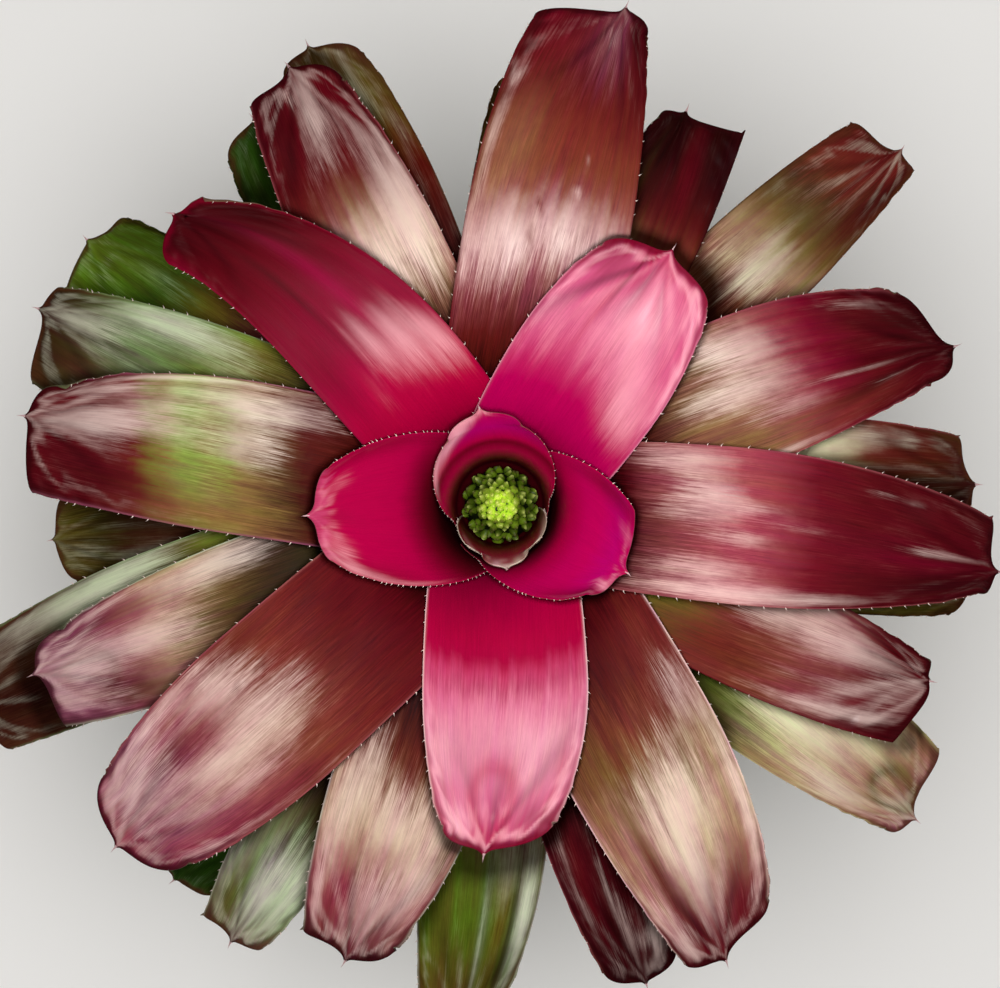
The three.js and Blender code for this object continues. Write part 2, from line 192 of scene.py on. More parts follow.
# Lengths are in millimetres. A place across a blade runs from 1 at its left margin to -1 at its right one.
leafSheet = {
    # the blade and the rows and columns of its grid
    "soilTop": 112, "thickness": 0.9, "edgeThickness": 0.45, "channel": 3, "spoon": 4, "lean": 0.04,
    "step": 2, "longest": 900, "rows": 54, "tipRows": 36, "tipFrom": 0.8, "lastRow": 0.9955,
    "halfColumns": 24, "pointFall": 5, "fullReach": 200,
    # slow waves over the blade and ripples along its margins
    "waves": 7, "waveAlong": (40, 120), "waveAcross": (26, 80), "waveHeight": 0.13,
    "rippleLength": (15, 24), "rippleHeight": 0.7,
    # folds that meet at the point, the lip round the end, the bend inside it, and the rays of the point
    "foldPlaces": (-0.55, 0, 0.5), "foldReach": 55, "foldWidth": 0.13, "foldDepth": 0.9,
    "lipWidth": 5, "lipReach": 60, "lipDrop": 2.4, "lipWaves": ((24, 36), (12, 18)), "lipWaver": 0.45,
    "lipLeast": 0.3, "sideLip": 0.25, "sideFrom": 35, "pointThin": 0.6, "pointWidth": 0.12, "ridgeRise": 0.7,
    "rays": 6, "rayReach": 55, "rayHeight": 0.6, "rayFan": 1.7, "rayWidth": 0.04, "rayWiden": 0.1,
    # where the sheath ends and the open blade, the relief and the tip begin, and over what length
    "sheathFrom": 12, "sheathOver": 24, "openOver": 90, "reliefFrom": 15, "reliefOver": 60, "tipOver": 0.2,
    # colours: ragged bands, underside, margin, painted shade of the lip and folds, painted light towards the
    # outside, painted gleam and sheen, and how far the fibres are moved
    "grade": 9, "ragged": 3, "streaks": (5, 9, 14, 23), "underside": 0.4, "darkSum": 0.25,
    "marginFrom": 0.972, "marginOver": 0.016, "lipCover": 0.85, "marginCover": 0.85, "foldShade": 0.5,
    "innerLight": 0.86, "paintedLightGain": 0.4, "paintedLightOver": 300, "rubbedOut": 0.98, "rayGleam": 0.5,
    "sheenTurns": ((0.5, 0.9), (1.1, 1.7), (2, 3), (3.4, 4.6)), "sheenDrift": (90, 260),
    "sheenFrom": 130, "sheenOver": 50, "sheenSwing": 0.55, "uvUnder": 0.31, "uvStep": (0.173, 0.391),
}

# The leaves in groups from the inside out, one for each slot: the rank that comes after it, its material,
# the colour of its waxy bloom and painted highlight, the strength of its streaks, its roughness, the dark
# colour of its lips (painted shade of the turned-down end), the strength of painted sheen and gleam, the size
# of its spines, the gaps between them (near the ends, and what the middle adds), and the length of the thorn
# at the tip.
whorlKeys = ("ends", "skin", "bloom", "streak", "rough", "lip", "sheen", "gleam", "spineSize", "gaps",
             "thorn")
whorlTable = {
    "heart_leaf": (4, "heartSkin", "blush", 0.12, 0.46, "deepCrimson", 0, 0.75, 0.95, (3, 0), 4.2),
    "pink_leaf": (7, "pinkSkin", "blush", 0.16, 0.46, "deepCrimson", 0, 0.75, 1, (4, 8), 5),
    "wine_leaf": (19, "wineSkin", "bloomWine", 0.42, 0.48, "darkWine", 0.08, 0.45, 1, (4, 8), 5),
    "green_leaf": (35, "greenSkin", "bloomGreen", 0.4, 0.48, "brown", 0.08, 0.45, 1, (4, 8), 5),
}
whorls = {slot: dict(zip(whorlKeys, row)) for slot, row in whorlTable.items()}

# One leaf a line, innermost first: direction, swing of the tip, reach, half width, narrowing, where that
# starts, fall of the right and left corner, sideways shift of the point, right and left notch, and half wrap
# of the sheath round the stem.
leafTable = [
    (-84, 0, 38, 36, 0.6, 0.7, 14, 14, 0, 0, 0, 80),
    (102, 0, 58, 50, 0.55, 0.68, 9, 9, 0, 0, 0, 135),
    (-23, 0, 84, 55, 0.48, 0.55, 9, 2, -0.25, 0, 0, 112),
    (-177, 0, 112, 54, 0.5, 0.5, 6, 6, 0, 0, 0, 105),
    (56, 0, 178, 50, 0.3, 0.62, 10, 13, 0, 0, 0, 62),
    (-87.5, -3, 203, 50, 0.38, 0.62, 12, 14, -0.25, 0, 0, 62),
    (127, 12, 255, 43.5, 0.54, 0.45, 8, 15, -0.15, 0, 0, 62),
    (-4.7, -1.2, 294, 46.5, 0.54, 0.55, 10, 6, -0.4, 0, 3, 62),
    (-138.4, 0, 301, 51, 0.32, 0.65, 22, 24, 0, 0, 0, 62),
    (80.6, -1.2, 302, 49, 0.35, 0.6, 14, 12, -0.6, 0, 2, 62),
    (-59.5, -2.5, 300, 49, 0.4, 0.6, 9, 20, -0.28, 0, 5, 62),
    (168.8, 3, 286, 46, 0.33, 0.6, 20, 9, -0.4, 0, 1, 62),
    (26, -4, 285, 46, 0.4, 0.6, 20, 20, -0.5, 0, 4, 62),
    (-108, -1.3, 286, 45, 0.42, 0.62, 8, 16, 0.1, 3, 0, 62),
    (116.3, 0, 290, 41, 0.35, 0.6, 20, 10, -0.12, 0, 3, 62),
    (-25.8, 0, 278, 38, 0.34, 0.6, 3, 5, 0.7, -5, 0, 62),
    (-158.4, 0, 298, 40, 0.34, 0.6, 26, 5, -0.33, 0, 2, 62),
    (62, 0, 262, 35, 0.32, 0.6, -9, 10, 0.5, 0, 0, 62),
    (-73, 0, 303, 35, 0.4, 0.6, 14, 14, 0, 0, 0, 62),
    (159.5, 0, 305, 43, 0.33, 0.6, 10, 12, -0.48, 0, 4, 62),
    (2.5, 0, 290, 46.5, 0.4, 0.6, 14, 8, 0, 0, 4, 60),
    (-122, 0, 315, 38, 0.5, 0.5, 5, 8, 0.1, 3, 0, 60),
    (111.8, 0, 305, 39, 0.4, 0.6, 16, 12, 0.2, 0, 0, 62),
    (-34.5, 0, 322, 42, 0.33, 0.6, 14, 12, -0.52, 0, 6, 62),
    (-161.6, 2.5, 350, 43.5, 0.25, 0.6, 14, 12, 0, 0, 0, 62),
    (43.2, 0, 334, 35, 0.36, 0.6, 4, 12, -0.45, 0, 5, 62),
    (-92, -3, 332, 39, 0.45, 0.6, 12, 14, 0, 0, 0, 62),
    (122.5, 0, 285, 39, 0.34, 0.6, 14, 14, 0, 0, 0, 60),
    (-8, 0, 300, 38, 0.3, 0.6, 12, 14, 0, 0, 0, 58),
    (-131, 0, 313, 37, 0.35, 0.6, 12, 12, 0, 0, 0, 58),
    (85, 0, 275, 36, 0.35, 0.6, 14, 14, 0, 0, 0, 60),
    (-62, 0, 272, 36, 0.35, 0.6, 14, 14, 0, 0, 0, 60),
    (150, 0, 312, 46, 0.2, 0.6, 16, 12, -0.4, 6, 0, 60),
    (24, 0, 272, 36, 0.35, 0.6, 14, 14, 0, 0, 0, 58),
    (-175.5, 0, 285, 36, 0.3, 0.6, 8, 14, 0, 0, 0, 60),
]
leafKeys = ("direction", "swing", "reach", "half", "narrowing", "narrowFrom", "backRight", "backLeft",
            "shift", "notchRight", "notchLeft", "wrap")
# how much wider the sheaths of the heart leaves are than their blades
sheathFlare = (0, 0.4, 0.3, 0.3)

# What each leaf looks like from above, as rows of numbers parted by commas. A spot on a blade is its distance
# from the plant's axis and its place across.
# bands: distance and colour, one after another along the blade. The dark inner bands are partly the leaf's
# own darker base and partly painted shade under the leaves above.
# patches: spot, length, width, colour and strength of soft ovals. The dark ones at the bases and beside the
# leaves above are painted shadows of those leaves, and a few pale ones are painted highlights.
# rings: spot, length, width, breadth of the line, colour and strength of oval rings.
# bloom and highlight: spot, length, width and strength of pale patches, partly waxy scurf and partly painted
# highlight.
# dents: spot, radius and depth.
# rim: colour of the margin, which where pale is partly a painted highlight along the edge. tilt: how far in
# the bands move at the left margin, and out at the right one.
# sheen: long faint streaks of painted sheen.
# gleam: painted highlight on the folds and the bend inside the lip. lipStrength: how much lip and folds the
# tip has.
leafLooks = {
    1: dict(rim="straw", lipStrength=0,
        bands="22 wine, 27 wineRed, 31 ruby, 35 roseRed, 37 blush",
        patches="36 .55 2.5 .22 straw .9, 33 .9 4 .12 straw .8, 35.5 -.4 2 .2 blush .8, "
                "37 .1 1.2 .5 straw .8",
        bloom="33.5 -.1 1.5 .3 .4, 32 -.75 4 .15 .5"),
    2: dict(rim="crimson", lipStrength=0.15,
        bands="24 wine, 29 deepCrimson, 34 crimson, 38.5 deepCrimson, 41 crimson, 47 violet, 54 magenta, "
              "58 crimson",
        bloom="55 .4 4 .3 .9, 49 .75 7 .2 1, 45 .95 7 .1 .9, 56.5 -.15 2.5 .4 .7, 52 .6 6 .25 .7"),
    3: dict(rim="crimson", lipStrength=0.15,
        bands="28 maroon, 34 wine, 42 crimson, 52 magenta, 60 magenta, 74 violet, 80 magenta, 86 crimson",
        patches="70 -.85 16 .2 deepCrimson .7, 66 .9 20 .15 deepCrimson .7",
        bloom="79 -.6 6 .2 1, 83 -.25 2.5 .3 .7, 72 -.9 8 .08 .7, 76 .6 5 .15 .4, 82 .3 2.5 .3 .4"),
    4: dict(rim="crimson", lipStrength=0.25,
        bands="30 maroon, 36 wine, 46 deepCrimson, 60 crimson, 108 crimson, 112 pink",
        patches="80 .9 20 .2 deepCrimson .5, 80 -.92 26 .15 deepCrimson .6, 104 .05 8 .2 deepCrimson .3",
        bloom="101 .72 8 .24 1, 106 .35 5 .25 .75, 98 -.45 8 .12 .35, 108 -.15 3.5 .3 .75, "
              "91 .93 14 .1 .95, 76 .97 18 .05 .7, 102 -.6 6 .12 .5"),
    5: dict(rim="palePink", gleam=0.8,
        bands="40 crimson, 58 magenta, 80 magenta, 104 pink, 168 pink, 178 crimson",
        patches="150 .3 18 .035 deepCrimson .9, 128 .36 18 .03 crimson .8, 166 .18 7 .1 crimson .8, "
                "166 .85 10 .3 deepCrimson 1, 88 .55 12 .35 magenta .5, 164 .65 10 .3 deepCrimson .8",
        bloom="120 0 26 .6 .35, 138 -.25 30 .45 .5, 92 -.55 18 .25 .75, 88 -.8 14 .1 .5, "
              "140 .9 25 .08 .4, 130 -.93 36 .06 .6, 160 -.75 9 .12 .8, 112 .7 20 .2 .35"),
    6: dict(rim="blush",
        bands="40 crimson, 86 scarlet, 98 crimson, 110 pink, 150 palePink, 185 pink, 203 crimson",
        patches="176 0 18 .28 pink .7, 99 0 5 1.2 ruby .4, 60 -.6 24 .6 deepCrimson .45, "
                "165 .82 10 .06 crimson .6, 178 -.8 10 .07 deepCrimson .6, 190 .75 8 .3 deepCrimson .9, "
                "191 -.6 8 .35 palePink .9",
        rings="172 0 20 .3 .3 crimson .42",
        bloom="124 0 14 1 .45, 150 .5 26 .3 .3, 150 -.75 18 .2 .3, 191 -.6 9 .4 1, 186 .85 8 .08 .8, "
              "186 .1 4 .3 .5",
        dents="172 0 18 1.3"),
    7: dict(rim="ruby", gleam=0.2,
        bands="40 deepCrimson, 64 scarlet, 92 scarlet, 106 crimson, 128 ruby, 150 ruby, 172 deepCrimson, "
              "200 wineRed, 255 wine",
        patches="120 .75 40 .3 deepCrimson .5, 235 -.1 16 .3 darkWine .7, 220 -.75 18 .35 maroon .85, "
                "245 .75 12 .4 maroon .8, 180 .3 40 .06 wine .6, 165 -.2 44 .12 magenta .3",
        bloom="112 -.35 20 .22 .9, 105 -.75 16 .22 .95, 118 0 20 .14 .75, 95 .35 12 .1 .3, "
              "122 .2 14 .06 .5, 132 -.6 14 .08 .4"),
    8: dict(rim="rose", sheen=0.02, gleam=0.3,
        bands="70 maroon, 82 wineRed, 96 rose, 135 roseRed, 156 roseRed, 176 deepCrimson, 200 wineRed, "
              "294 wine",
        patches="104 -.1 12 .3 redBrown .5, 240 0 40 .25 ruby .35, 262 -.6 44 .35 darkWine .8, "
                "72 -.5 22 .6 maroon .7",
        bloom="122 .42 14 .2 1, 112 .8 24 .2 .75, 112 .15 20 .14 .65, 150 .3 22 .08 .4, "
              "140 -.1 22 .12 .5, 122 -.55 30 .2 .65, 140 -.85 50 .14 .85, 258 .17 16 .07 .75, "
              "232 .78 8 .05 .6, 172 .15 20 .05 .3, 195 -.85 24 .08 .5"),
    9: dict(rim="rose",
        bands="64 maroon, 84 wineRed, 108 wineRed, 132 wineBrown, 150 rustRed, 180 rust, 215 rose, "
              "270 mauve, 301 ruby",
        patches="130 .7 50 .3 wineBrown .3, 176 -.85 26 .2 redBrown .7, 200 .15 46 .2 tan .6, "
                "222 -.3 26 .12 wineRed .5, 215 .85 60 .14 wineRed .6, 262 .8 34 .2 ruby .5, "
                "275 -.3 8 .1 wineBrown .5, 240 -.45 10 .1 wineBrown .5, 178 -.45 3.5 .045 darkWine .9, "
                "138 0 14 .4 wineBrown .5, 294 .65 9 .3 darkWine .8",
        bloom="192 -.62 13 .25 .9, 206 -.75 9 .12 .9, 214 -.92 9 .08 .9, 180 0 26 .3 .6, "
              "215 .1 36 .26 .75, 210 .45 26 .12 .5, 262 -.3 24 .3 .6, 288 .2 5 .5 .6, 283 -.5 8 .2 .6, "
              "250 -.85 20 .1 .7, 262 .92 30 .06 .6, 190 -.5 16 .3 .6, 265 -.6 18 .25 .6",
        dents="178 -.45 4 1.2"),
    10: dict(rim="wineRed", sheen=0.02, gleam=0.45,
        bands="80 maroon, 92 redBrown, 112 wineBrown, 134 rose, 178 rose, 192 rust, 222 rustRed, "
              "245 wineBrown, 302 deepCrimson",
        patches="205 .75 30 .25 tan .6, 134 -.35 14 .3 mauve .5, 165 .28 4 .05 wineRed .8, "
                "278 0 20 .4 mauve .75, 268 -.85 34 .3 wine .85, 114 0 10 .4 wine .6, "
                "292 .6 10 .3 wine .7, 290 -.6 14 .35 maroon .9",
        bloom="150 .6 18 .5 .8, 166 -.05 14 .45 .95, 160 -.7 16 .35 .75, 140 -.4 12 .3 .4, "
              "195 -.12 3 .05 .8, 215 .93 40 .05 .5, 262 .93 5 .06 .9, 290 0 6 .25 .5, 165 .6 14 .3 .6",
        dents="165 .28 3.5 1"),
    11: dict(rim="blush",
        bands="70 maroon, 92 wineRed, 128 wineBrown, 160 rust, 182 oliveTan, 196 paleTan, 235 paleTan, "
              "258 rose, 285 wineRed",
        patches="115 .75 26 .3 rustRed .7, 110 -.3 26 .6 maroon .6, 140 -.85 50 .2 maroon .7, "
                "165 -.5 24 .2 olive .5, 228 -.45 44 .12 wineRed .95, 268 -.3 26 .15 wine .9, "
                "205 -.8 40 .2 rust .7, 205 -.05 30 .04 redBrown .6, 185 .5 24 .06 redBrown .6, "
                "262 .62 18 .25 wineRed .9, 175 -.25 30 .08 redBrown .6, 225 .75 20 .08 rust .5",
        bloom="200 .3 20 .35 .85, 195 -.1 14 .3 .7, 222 0 26 .3 .85, 245 .05 22 .2 .8, 150 .75 26 .2 .6, "
              "262 -.75 20 .25 .6, 284 -.6 8 .3 .7, 225 .92 50 .07 .8, 280 .8 5 .1 .8, 175 .4 16 .2 .4"),
    12: dict(rim="mauve", sheen=0.05, tilt=9,
        bands="80 maroon, 100 redBrown, 128 redBrown, 146 oliveTan, 166 oliveTan, 174 springGreen, "
              "200 springGreen, 210 rustRed, 232 wineRed",
        patches="120 .6 20 .6 maroon .7, 190 .85 30 .22 rust .85, 186 -.2 9 .8 cream .35, "
                "225 .75 24 .25 wine .5, 262 -.85 10 .15 maroon .7, 250 .65 30 .3 wine .8, "
                "262 -.5 8 .1 wineRed .7",
        bloom="148 -.05 12 .3 .85, 118 -.65 14 .25 .6, 150 -.6 18 .3 .85, 178 -.7 24 .2 .5, "
              "190 -.1 22 .25 .4, 205 -.45 20 .2 .5, 225 -.1 20 .2 .7, 245 0 20 .18 .95, "
              "235 -.7 16 .12 .7, 255 -.55 6 .12 .6, 275 .1 6 .4 .5, 195 -.93 50 .05 .8, 244 0 14 .3 .7"),
    13: dict(rim="rose", sheen=0.02, gleam=0.3,
        bands="80 darkOlive, 105 rustRed, 125 tan, 150 tan, 180 rose, 200 ruby, 222 wineRed, 286 wine",
        patches="145 -.75 36 .35 oliveTan .8, 205 -.6 30 .3 rust .4, 118 .7 22 .4 maroon .8, "
                "104 0 16 .5 maroon .7, 138 -.6 18 .35 redBrown .45, 264 .65 16 .35 maroon .9, "
                "270 0 12 .4 darkWine .7",
        bloom="165 .6 18 .3 .95, 145 .1 22 .2 .75, 172 .1 20 .3 .5, 138 .7 14 .2 .5, 180 -.3 20 .14 .5, "
              "225 -.05 22 .03 .6, 240 .85 14 .06 .4, 245 -.35 16 .05 .3, 165 -.9 30 .06 .8"),
    14: dict(rim="silver",
        bands="100 maroon, 140 redBrown, 165 rust, 185 tan, 215 paleTan, 232 rose, 262 rose, 286 wine",
        patches="116 0 22 1.4 maroon .95, 140 .3 26 .5 maroon .9, 165 .85 50 .22 maroon .85, "
                "170 0 12 .25 rust .6, 228 0 9 .3 ruby .6, 243 -.4 10 .3 ruby .8, "
                "268 -.65 14 .14 wineRed .85, 268 .5 12 .4 plum .5, 150 0 16 .35 redBrown .7, "
                "270 .6 10 .35 darkWine .7",
        bloom="178 .7 24 .3 .8, 195 0 18 .5 .9, 178 -.6 24 .3 .7, 212 .6 16 .3 .6, 205 -.75 20 .2 .7, "
              "240 .6 16 .3 .8, 250 -.85 20 .1 .7, 248 .05 10 .3 .85, 278 0 5 .5 .6, 240 .1 14 .4 .6"),
    15: dict(rim="rose", sheen=0.05,
        bands="95 maroon, 118 rust, 140 tan, 172 paleTan, 190 rust, 210 wineBrown, 235 wineRed",
        patches="110 -.7 16 .3 maroon .8, 190 .75 50 .3 wineRed .75, 250 .75 30 .25 wine .7, "
                "268 -.75 12 .12 wineRed .6, 112 -.6 16 .4 maroon .7, 165 .6 18 .35 mauve .9, "
                "190 0 12 .35 paleTan .4, 267 .6 12 .3 darkWine .7",
        bloom="145 .1 16 .4 .8, 168 .1 14 .4 .75, 165 -.6 24 .35 .95, 192 -.7 18 .3 .9, 175 -.1 16 .2 .5, "
              "262 -.05 14 .22 .95, 242 .05 14 .2 .6, 225 -.6 20 .12 .6, 235 -.35 16 .08 .4, "
              "215 -.88 30 .08 .7, 280 .35 5 .35 .6, 165 .55 16 .25 .6, 190 -.6 14 .3 .6"),
    16: dict(rim="wineRed", sheen=0.04,
        bands="90 yellowGreen, 105 olive, 120 rust, 150 rustRed, 180 rust, 215 rose, 240 wineRed",
        patches="150 -.6 40 .3 redBrown .6, 125 .1 14 .3 mustard .6, 235 .75 26 .3 wine .9, "
                "262 -.1 14 .1 wineRed .5, 116 0 16 .5 mustard .95, 215 .6 14 .3 rose .6, "
                "215 -.6 14 .3 wineRed .5, 267 .6 10 .3 wine .6",
        bloom="168 .75 18 .25 .95, 175 .15 22 .3 .75, 200 .6 18 .25 .7, 215 .1 22 .3 .8, "
              "238 -.05 14 .2 .6, 262 -.2 14 .2 .5, 225 -.6 30 .1 .5, 240 -.88 40 .07 .8, 272 .4 6 .3 .5, "
              "165 .6 16 .35 .8, 190 .6 14 .3 .4, 215 0 14 .3 .5, 265 -.6 10 .3 .5"),
    17: dict(rim="silver",
        bands="90 maroon, 115 darkOlive, 150 brown, 180 oliveTan, 205 paleTan, 232 rose, 262 mauve",
        patches="145 .15 36 .45 darkOlive .9, 262 0 12 .2 wine .3, 245 -.6 24 .2 wine .6, "
                "235 .75 16 .25 brown .7, 195 .7 16 .3 brown .6, 175 .25 22 .4 brown .7, "
                "190 .65 14 .3 brown .6, 244 .7 12 .3 brown .7",
        rings="262 .3 15 .38 .3 wineBrown .45",
        bloom="212 .05 18 .3 .9, 165 -.75 24 .25 .95, 190 -.6 20 .3 .7, 240 .05 16 .25 .75, "
              "265 .15 16 .25 .8, 278 .3 8 .35 .7, 265 .7 16 .2 .5, 280 -.5 8 .2 .8, 250 -.85 24 .1 .5, "
              "264 0 16 .4 .6",
        dents="262 .3 15 2.4"),
    18: dict(rim="darkWine", sheen=0.02, gleam=0.1,
        bands="120 darkOlive, 150 rust, 172 rust, 192 wineBrown, 220 darkWine, 262 maroon",
        patches="190 .1 14 .25 maroon .8, 215 -.5 40 .2 wineRed .9, 205 .35 26 .2 darkOlive .6, "
                "163 -.2 12 .7 tan .7",
        bloom="162 .1 10 .25 .4"),
    19: dict(rim="rose", sheen=0.04, gleam=0.4,
        bands="180 maroon, 205 wine, 303 darkWine",
        patches="225 -.6 30 .2 wineRed .9, 262 .1 26 .3 wineRed .4, 240 .05 14 .12 maroon .6",
        bloom="248 .75 26 .14 .75, 268 .55 16 .14 .8, 232 -.2 22 .04 .6, 262 0 16 .2 .55, 282 .3 6 .3 .8, "
              "216 -.7 14 .15 .6, 240 -.75 20 .05 .4, 290 -.6 10 .1 .3"),
    20: dict(rim="greyGreen",
        bands="130 darkOlive, 158 mustard, 185 yellowGreen, 215 greyGreen, 250 greyGreen, 280 brown, "
              "305 darkWine",
        patches="205 -.1 24 .25 leafGreen .5, 262 .6 40 .4 brown .95, 235 .1 10 .14 darkOlive .4, "
                "288 -.75 16 .3 darkOlive .9, 138 -.6 14 .5 darkOlive .7, 292 .6 14 .4 darkOlive .95, "
                "292 -.5 12 .3 darkOlive .9",
        bloom="218 -.7 18 .25 .95, 245 -.7 14 .2 .7, 270 -.15 14 .25 .9, 195 -.6 20 .2 .6, "
              "175 -.3 16 .3 .35, 288 -.15 10 .2 .7, 240 .2 20 .08 .35, 265 0 12 .3 .5, 240 -.6 14 .3 .4"),
    21: dict(rim="rose", sheen=0.04, gleam=0.35,
        bands="130 olive, 165 cream, 196 cream, 214 rust, 238 redBrown, 262 brown, 290 darkWine",
        patches="228 -.1 20 .5 brown .9, 200 .1 14 .3 olive .6, 245 .85 10 .15 wineRed .8, "
                "267 .6 10 .3 redBrown .6",
        bloom="190 .6 20 .4 .9, 215 .7 14 .2 .6, 236 .8 9 .14 .85, 225 .3 30 .06 .5, 258 .75 6 .12 .7, "
              "262 .1 14 .08 .3, 170 .6 22 .35 .9"),
    22: dict(rim="silver",
        bands="196 maroon, 216 olive, 240 greyGreen, 265 silver, 290 greyGreen, 315 plum",
        patches="282 -.62 26 .28 olive .95, 275 -.5 22 .14 leafGreen .7, 222 0 12 .3 darkOlive .8, "
                "280 -.75 4 .06 maroon .6, 214 0 14 .35 maroon .8, 216 -.6 16 .32 cream .95",
        bloom="218 -.75 14 .2 .95, 245 .65 16 .3 .85, 268 .1 14 .25 .95, 240 .1 14 .2 .5, "
              "275 .6 20 .2 .7, 290 0 12 .12 .6, 285 -.25 16 .06 .6, 216 -.6 13 .25 .9, 290 .3 12 .5 .5"),
    23: dict(rim="brown", gleam=0.5,
        bands="130 maroon, 220 redBrown, 260 olive, 305 brown",
        patches="285 -.3 26 .3 oliveTan .5",
        bloom="275 -.6 24 .14 .4"),
    24: dict(rim="cream",
        bands="100 leafGreen, 160 yellowGreen, 178 yellowGreen, 205 cream, 225 cream, 250 paleTan, "
              "298 tan, 322 mauve",
        patches="140 0 26 .8 darkOlive .95, 186 -.75 26 .35 brown .9, 222 -.9 20 .2 tan .8, "
                "300 .6 12 .2 mauve .5, 300 -.8 10 .14 mauve .6, 145 0 22 .7 darkOlive .9, "
                "165 -.1 14 .5 darkOlive .6, 190 -.6 16 .35 darkOlive .6, 252 .6 24 .3 cream .6",
        rings="296 .15 15 .38 .32 olive .75",
        bloom="200 0 18 .3 .9, 225 0 20 .3 .8, 250 .2 20 .3 .5, 270 -.6 16 .25 .95, 245 -.45 16 .2 .5, "
              "262 .7 22 .15 .6, 310 -.2 10 .35 .8, 296 .15 7 .16 .7, 240 .75 20 .15 .6, 252 .6 22 .3 .6, "
              "265 -.6 14 .3 .5",
        dents="296 .15 14 3"),
    25: dict(rim="greyGreen",
        bands="120 leafGreen, 170 yellowGreen, 195 olive, 225 greyGreen, 262 greyGreen, 290 brown",
        patches="290 .3 60 .45 maroon .9, 330 0 16 .8 wine .2",
        bloom="240 -.8 30 .2 .95, 265 -.7 26 .2 .85, 215 -.85 14 .12 .6, 295 -.8 24 .14 .5, "
              "320 -.6 14 .3 .4"),
    26: dict(rim="brown", sheen=0.04,
        bands="150 redBrown, 175 brown, 195 rust, 216 paleTan, 236 oliveTan, 262 bark, 295 rustRed, "
              "334 wineBrown",
        patches="275 -.5 30 .4 brown .8, 170 0 14 .5 maroon .6, 310 -.85 20 .25 maroon .8, "
                "165 .65 16 .4 rust .95, 265 -.6 14 .35 redBrown .6, 294 -.6 14 .35 darkWine .7, "
                "317 .6 12 .35 darkWine .6",
        bloom="214 0 14 .35 .95, 205 .65 16 .2 .4, 196 .1 10 .2 .5, 240 .3 14 .12 .4, 290 .15 10 .05 .5, "
              "297 .35 8 .04 .4, 318 .1 8 .3 .2, 325 .7 8 .15 .3, 215 0 12 .35 .7"),
    27: dict(rim="silver", sheen=0.04,
        bands="150 brown, 190 rust, 208 yellowGreen, 245 leafGreen, 268 leafGreen, 290 olive",
        patches="255 .8 50 .14 silver .9, 250 .15 60 .08 greyGreen .7, 265 .42 80 .13 mustard 1, "
                "270 .62 80 .05 darkOlive .8, 262 -.6 50 .25 olive .6, 290 .7 14 .3 darkOlive .7, "
                "196 .5 14 .8 mauve .6, 290 .6 14 .3 darkOlive .8",
        bloom="250 .82 34 .12 .85, 225 .5 24 .3 .4, 275 .12 40 .04 .6, 285 -.45 20 .05 .3, 214 .5 12 .3 .5"),
    28: dict(rim="deepGreen", sheen=0.04, gleam=0.3,
        bands="120 darkOlive, 285 deepGreen"),
    29: dict(rim="brown", sheen=0.08, gleam=0.4,
        bands="120 darkOlive, 270 olive, 300 brown",
        bloom="285 -.6 14 .3 .3"),
    30: dict(rim="deepGreen", sheen=0.04, gleam=0.3,
        bands="313 deepGreen"),
    31: dict(rim="brown", sheen=0.05, gleam=0.3,
        bands="120 darkOlive, 275 olive",
        bloom="240 .6 12 .3 .4"),
    32: dict(rim="brown", sheen=0.05, gleam=0.3,
        bands="120 deepGreen, 272 olive"),
    33: dict(rim="deepGreen", sheen=0.05, gleam=0.3,
        bands="190 brown, 215 mustard, 240 deepGreen, 268 leafGreen",
        patches="262 .2 16 .3 deepGreen .5, 290 -.5 20 .3 deepGreen .6, 168 0 16 .8 roseRed .9, "
                "215 -.6 12 .3 wineRed .7, 267 .6 14 .4 deepGreen .6",
        bloom="297 .2 5 .3 .4, 255 -.2 20 .2 .2"),
    34: dict(rim="brown", sheen=0.05, gleam=0.3,
        bands="120 deepGreen, 272 olive"),
    35: dict(rim="olive", sheen=0.06, gleam=0.3,
        bands="120 darkOlive, 190 brown, 222 brown, 240 darkOlive, 285 olive",
        bloom="270 .4 14 .3 .3, 212 .6 14 .4 .5, 216 -.7 14 .3 .4"),
}


def rowsOf(text):
    # "22 wine, 27 ruby" becomes [(22.0, "wine"), (27.0, "ruby")]
    rows = [row.split() for row in text.split(",")]
    return [tuple(word if word[0].isalpha() else float(word) for word in row) for row in rows]


def looksOf(index):
    # every list of rows, empty where the leaf has none, and the single values as they are
    looks = {"bands": [], "patches": [], "rings": [], "bloom": [], "dents": []}
    for key, value in leafLooks[index + 1].items():
        looks[key] = rowsOf(value) if key in looks else value
    return looks


def leafCurve(rank, reach):
    # radius and height over the length, added up in small steps: bowl, steep wall, bend, drooping blade
    at = {key: np.interp(rank, leafFamily["rank"], stops) for key, stops in leafFamily.items()}
    step = leafSheet["step"]
    bowlEnd = at["bowlLength"]
    wallEnd = bowlEnd + at["wallLength"]
    s = np.arange(0, leafSheet["longest"], step)
    angle = at["bowlAngle"] + (at["wallAngle"] - at["bowlAngle"]) * smooth(s / bowlEnd)
    angle = angle + (at["bladeAngle"] - at["wallAngle"]) * smooth((s - wallEnd) / at["bendLength"])
    angle = np.radians(angle - at["droop"] * np.maximum(0, s - wallEnd - 0.7 * at["bendLength"]))
    radius = at["baseRadius"] + np.concatenate([[0], np.cumsum(np.cos(angle) * step)])
    height = at["baseHeight"] + np.concatenate([[0], np.cumsum(np.sin(angle) * step)])
    last = int(np.argmax(radius >= reach))
    over = (radius[last] - reach) / (radius[last] - radius[last - 1])
    return {"s": np.arange(last + 1) * step, "radius": radius[:last + 1], "height": height[:last + 1],
            "length": (last - over) * step, "wallEnd": wallEnd}


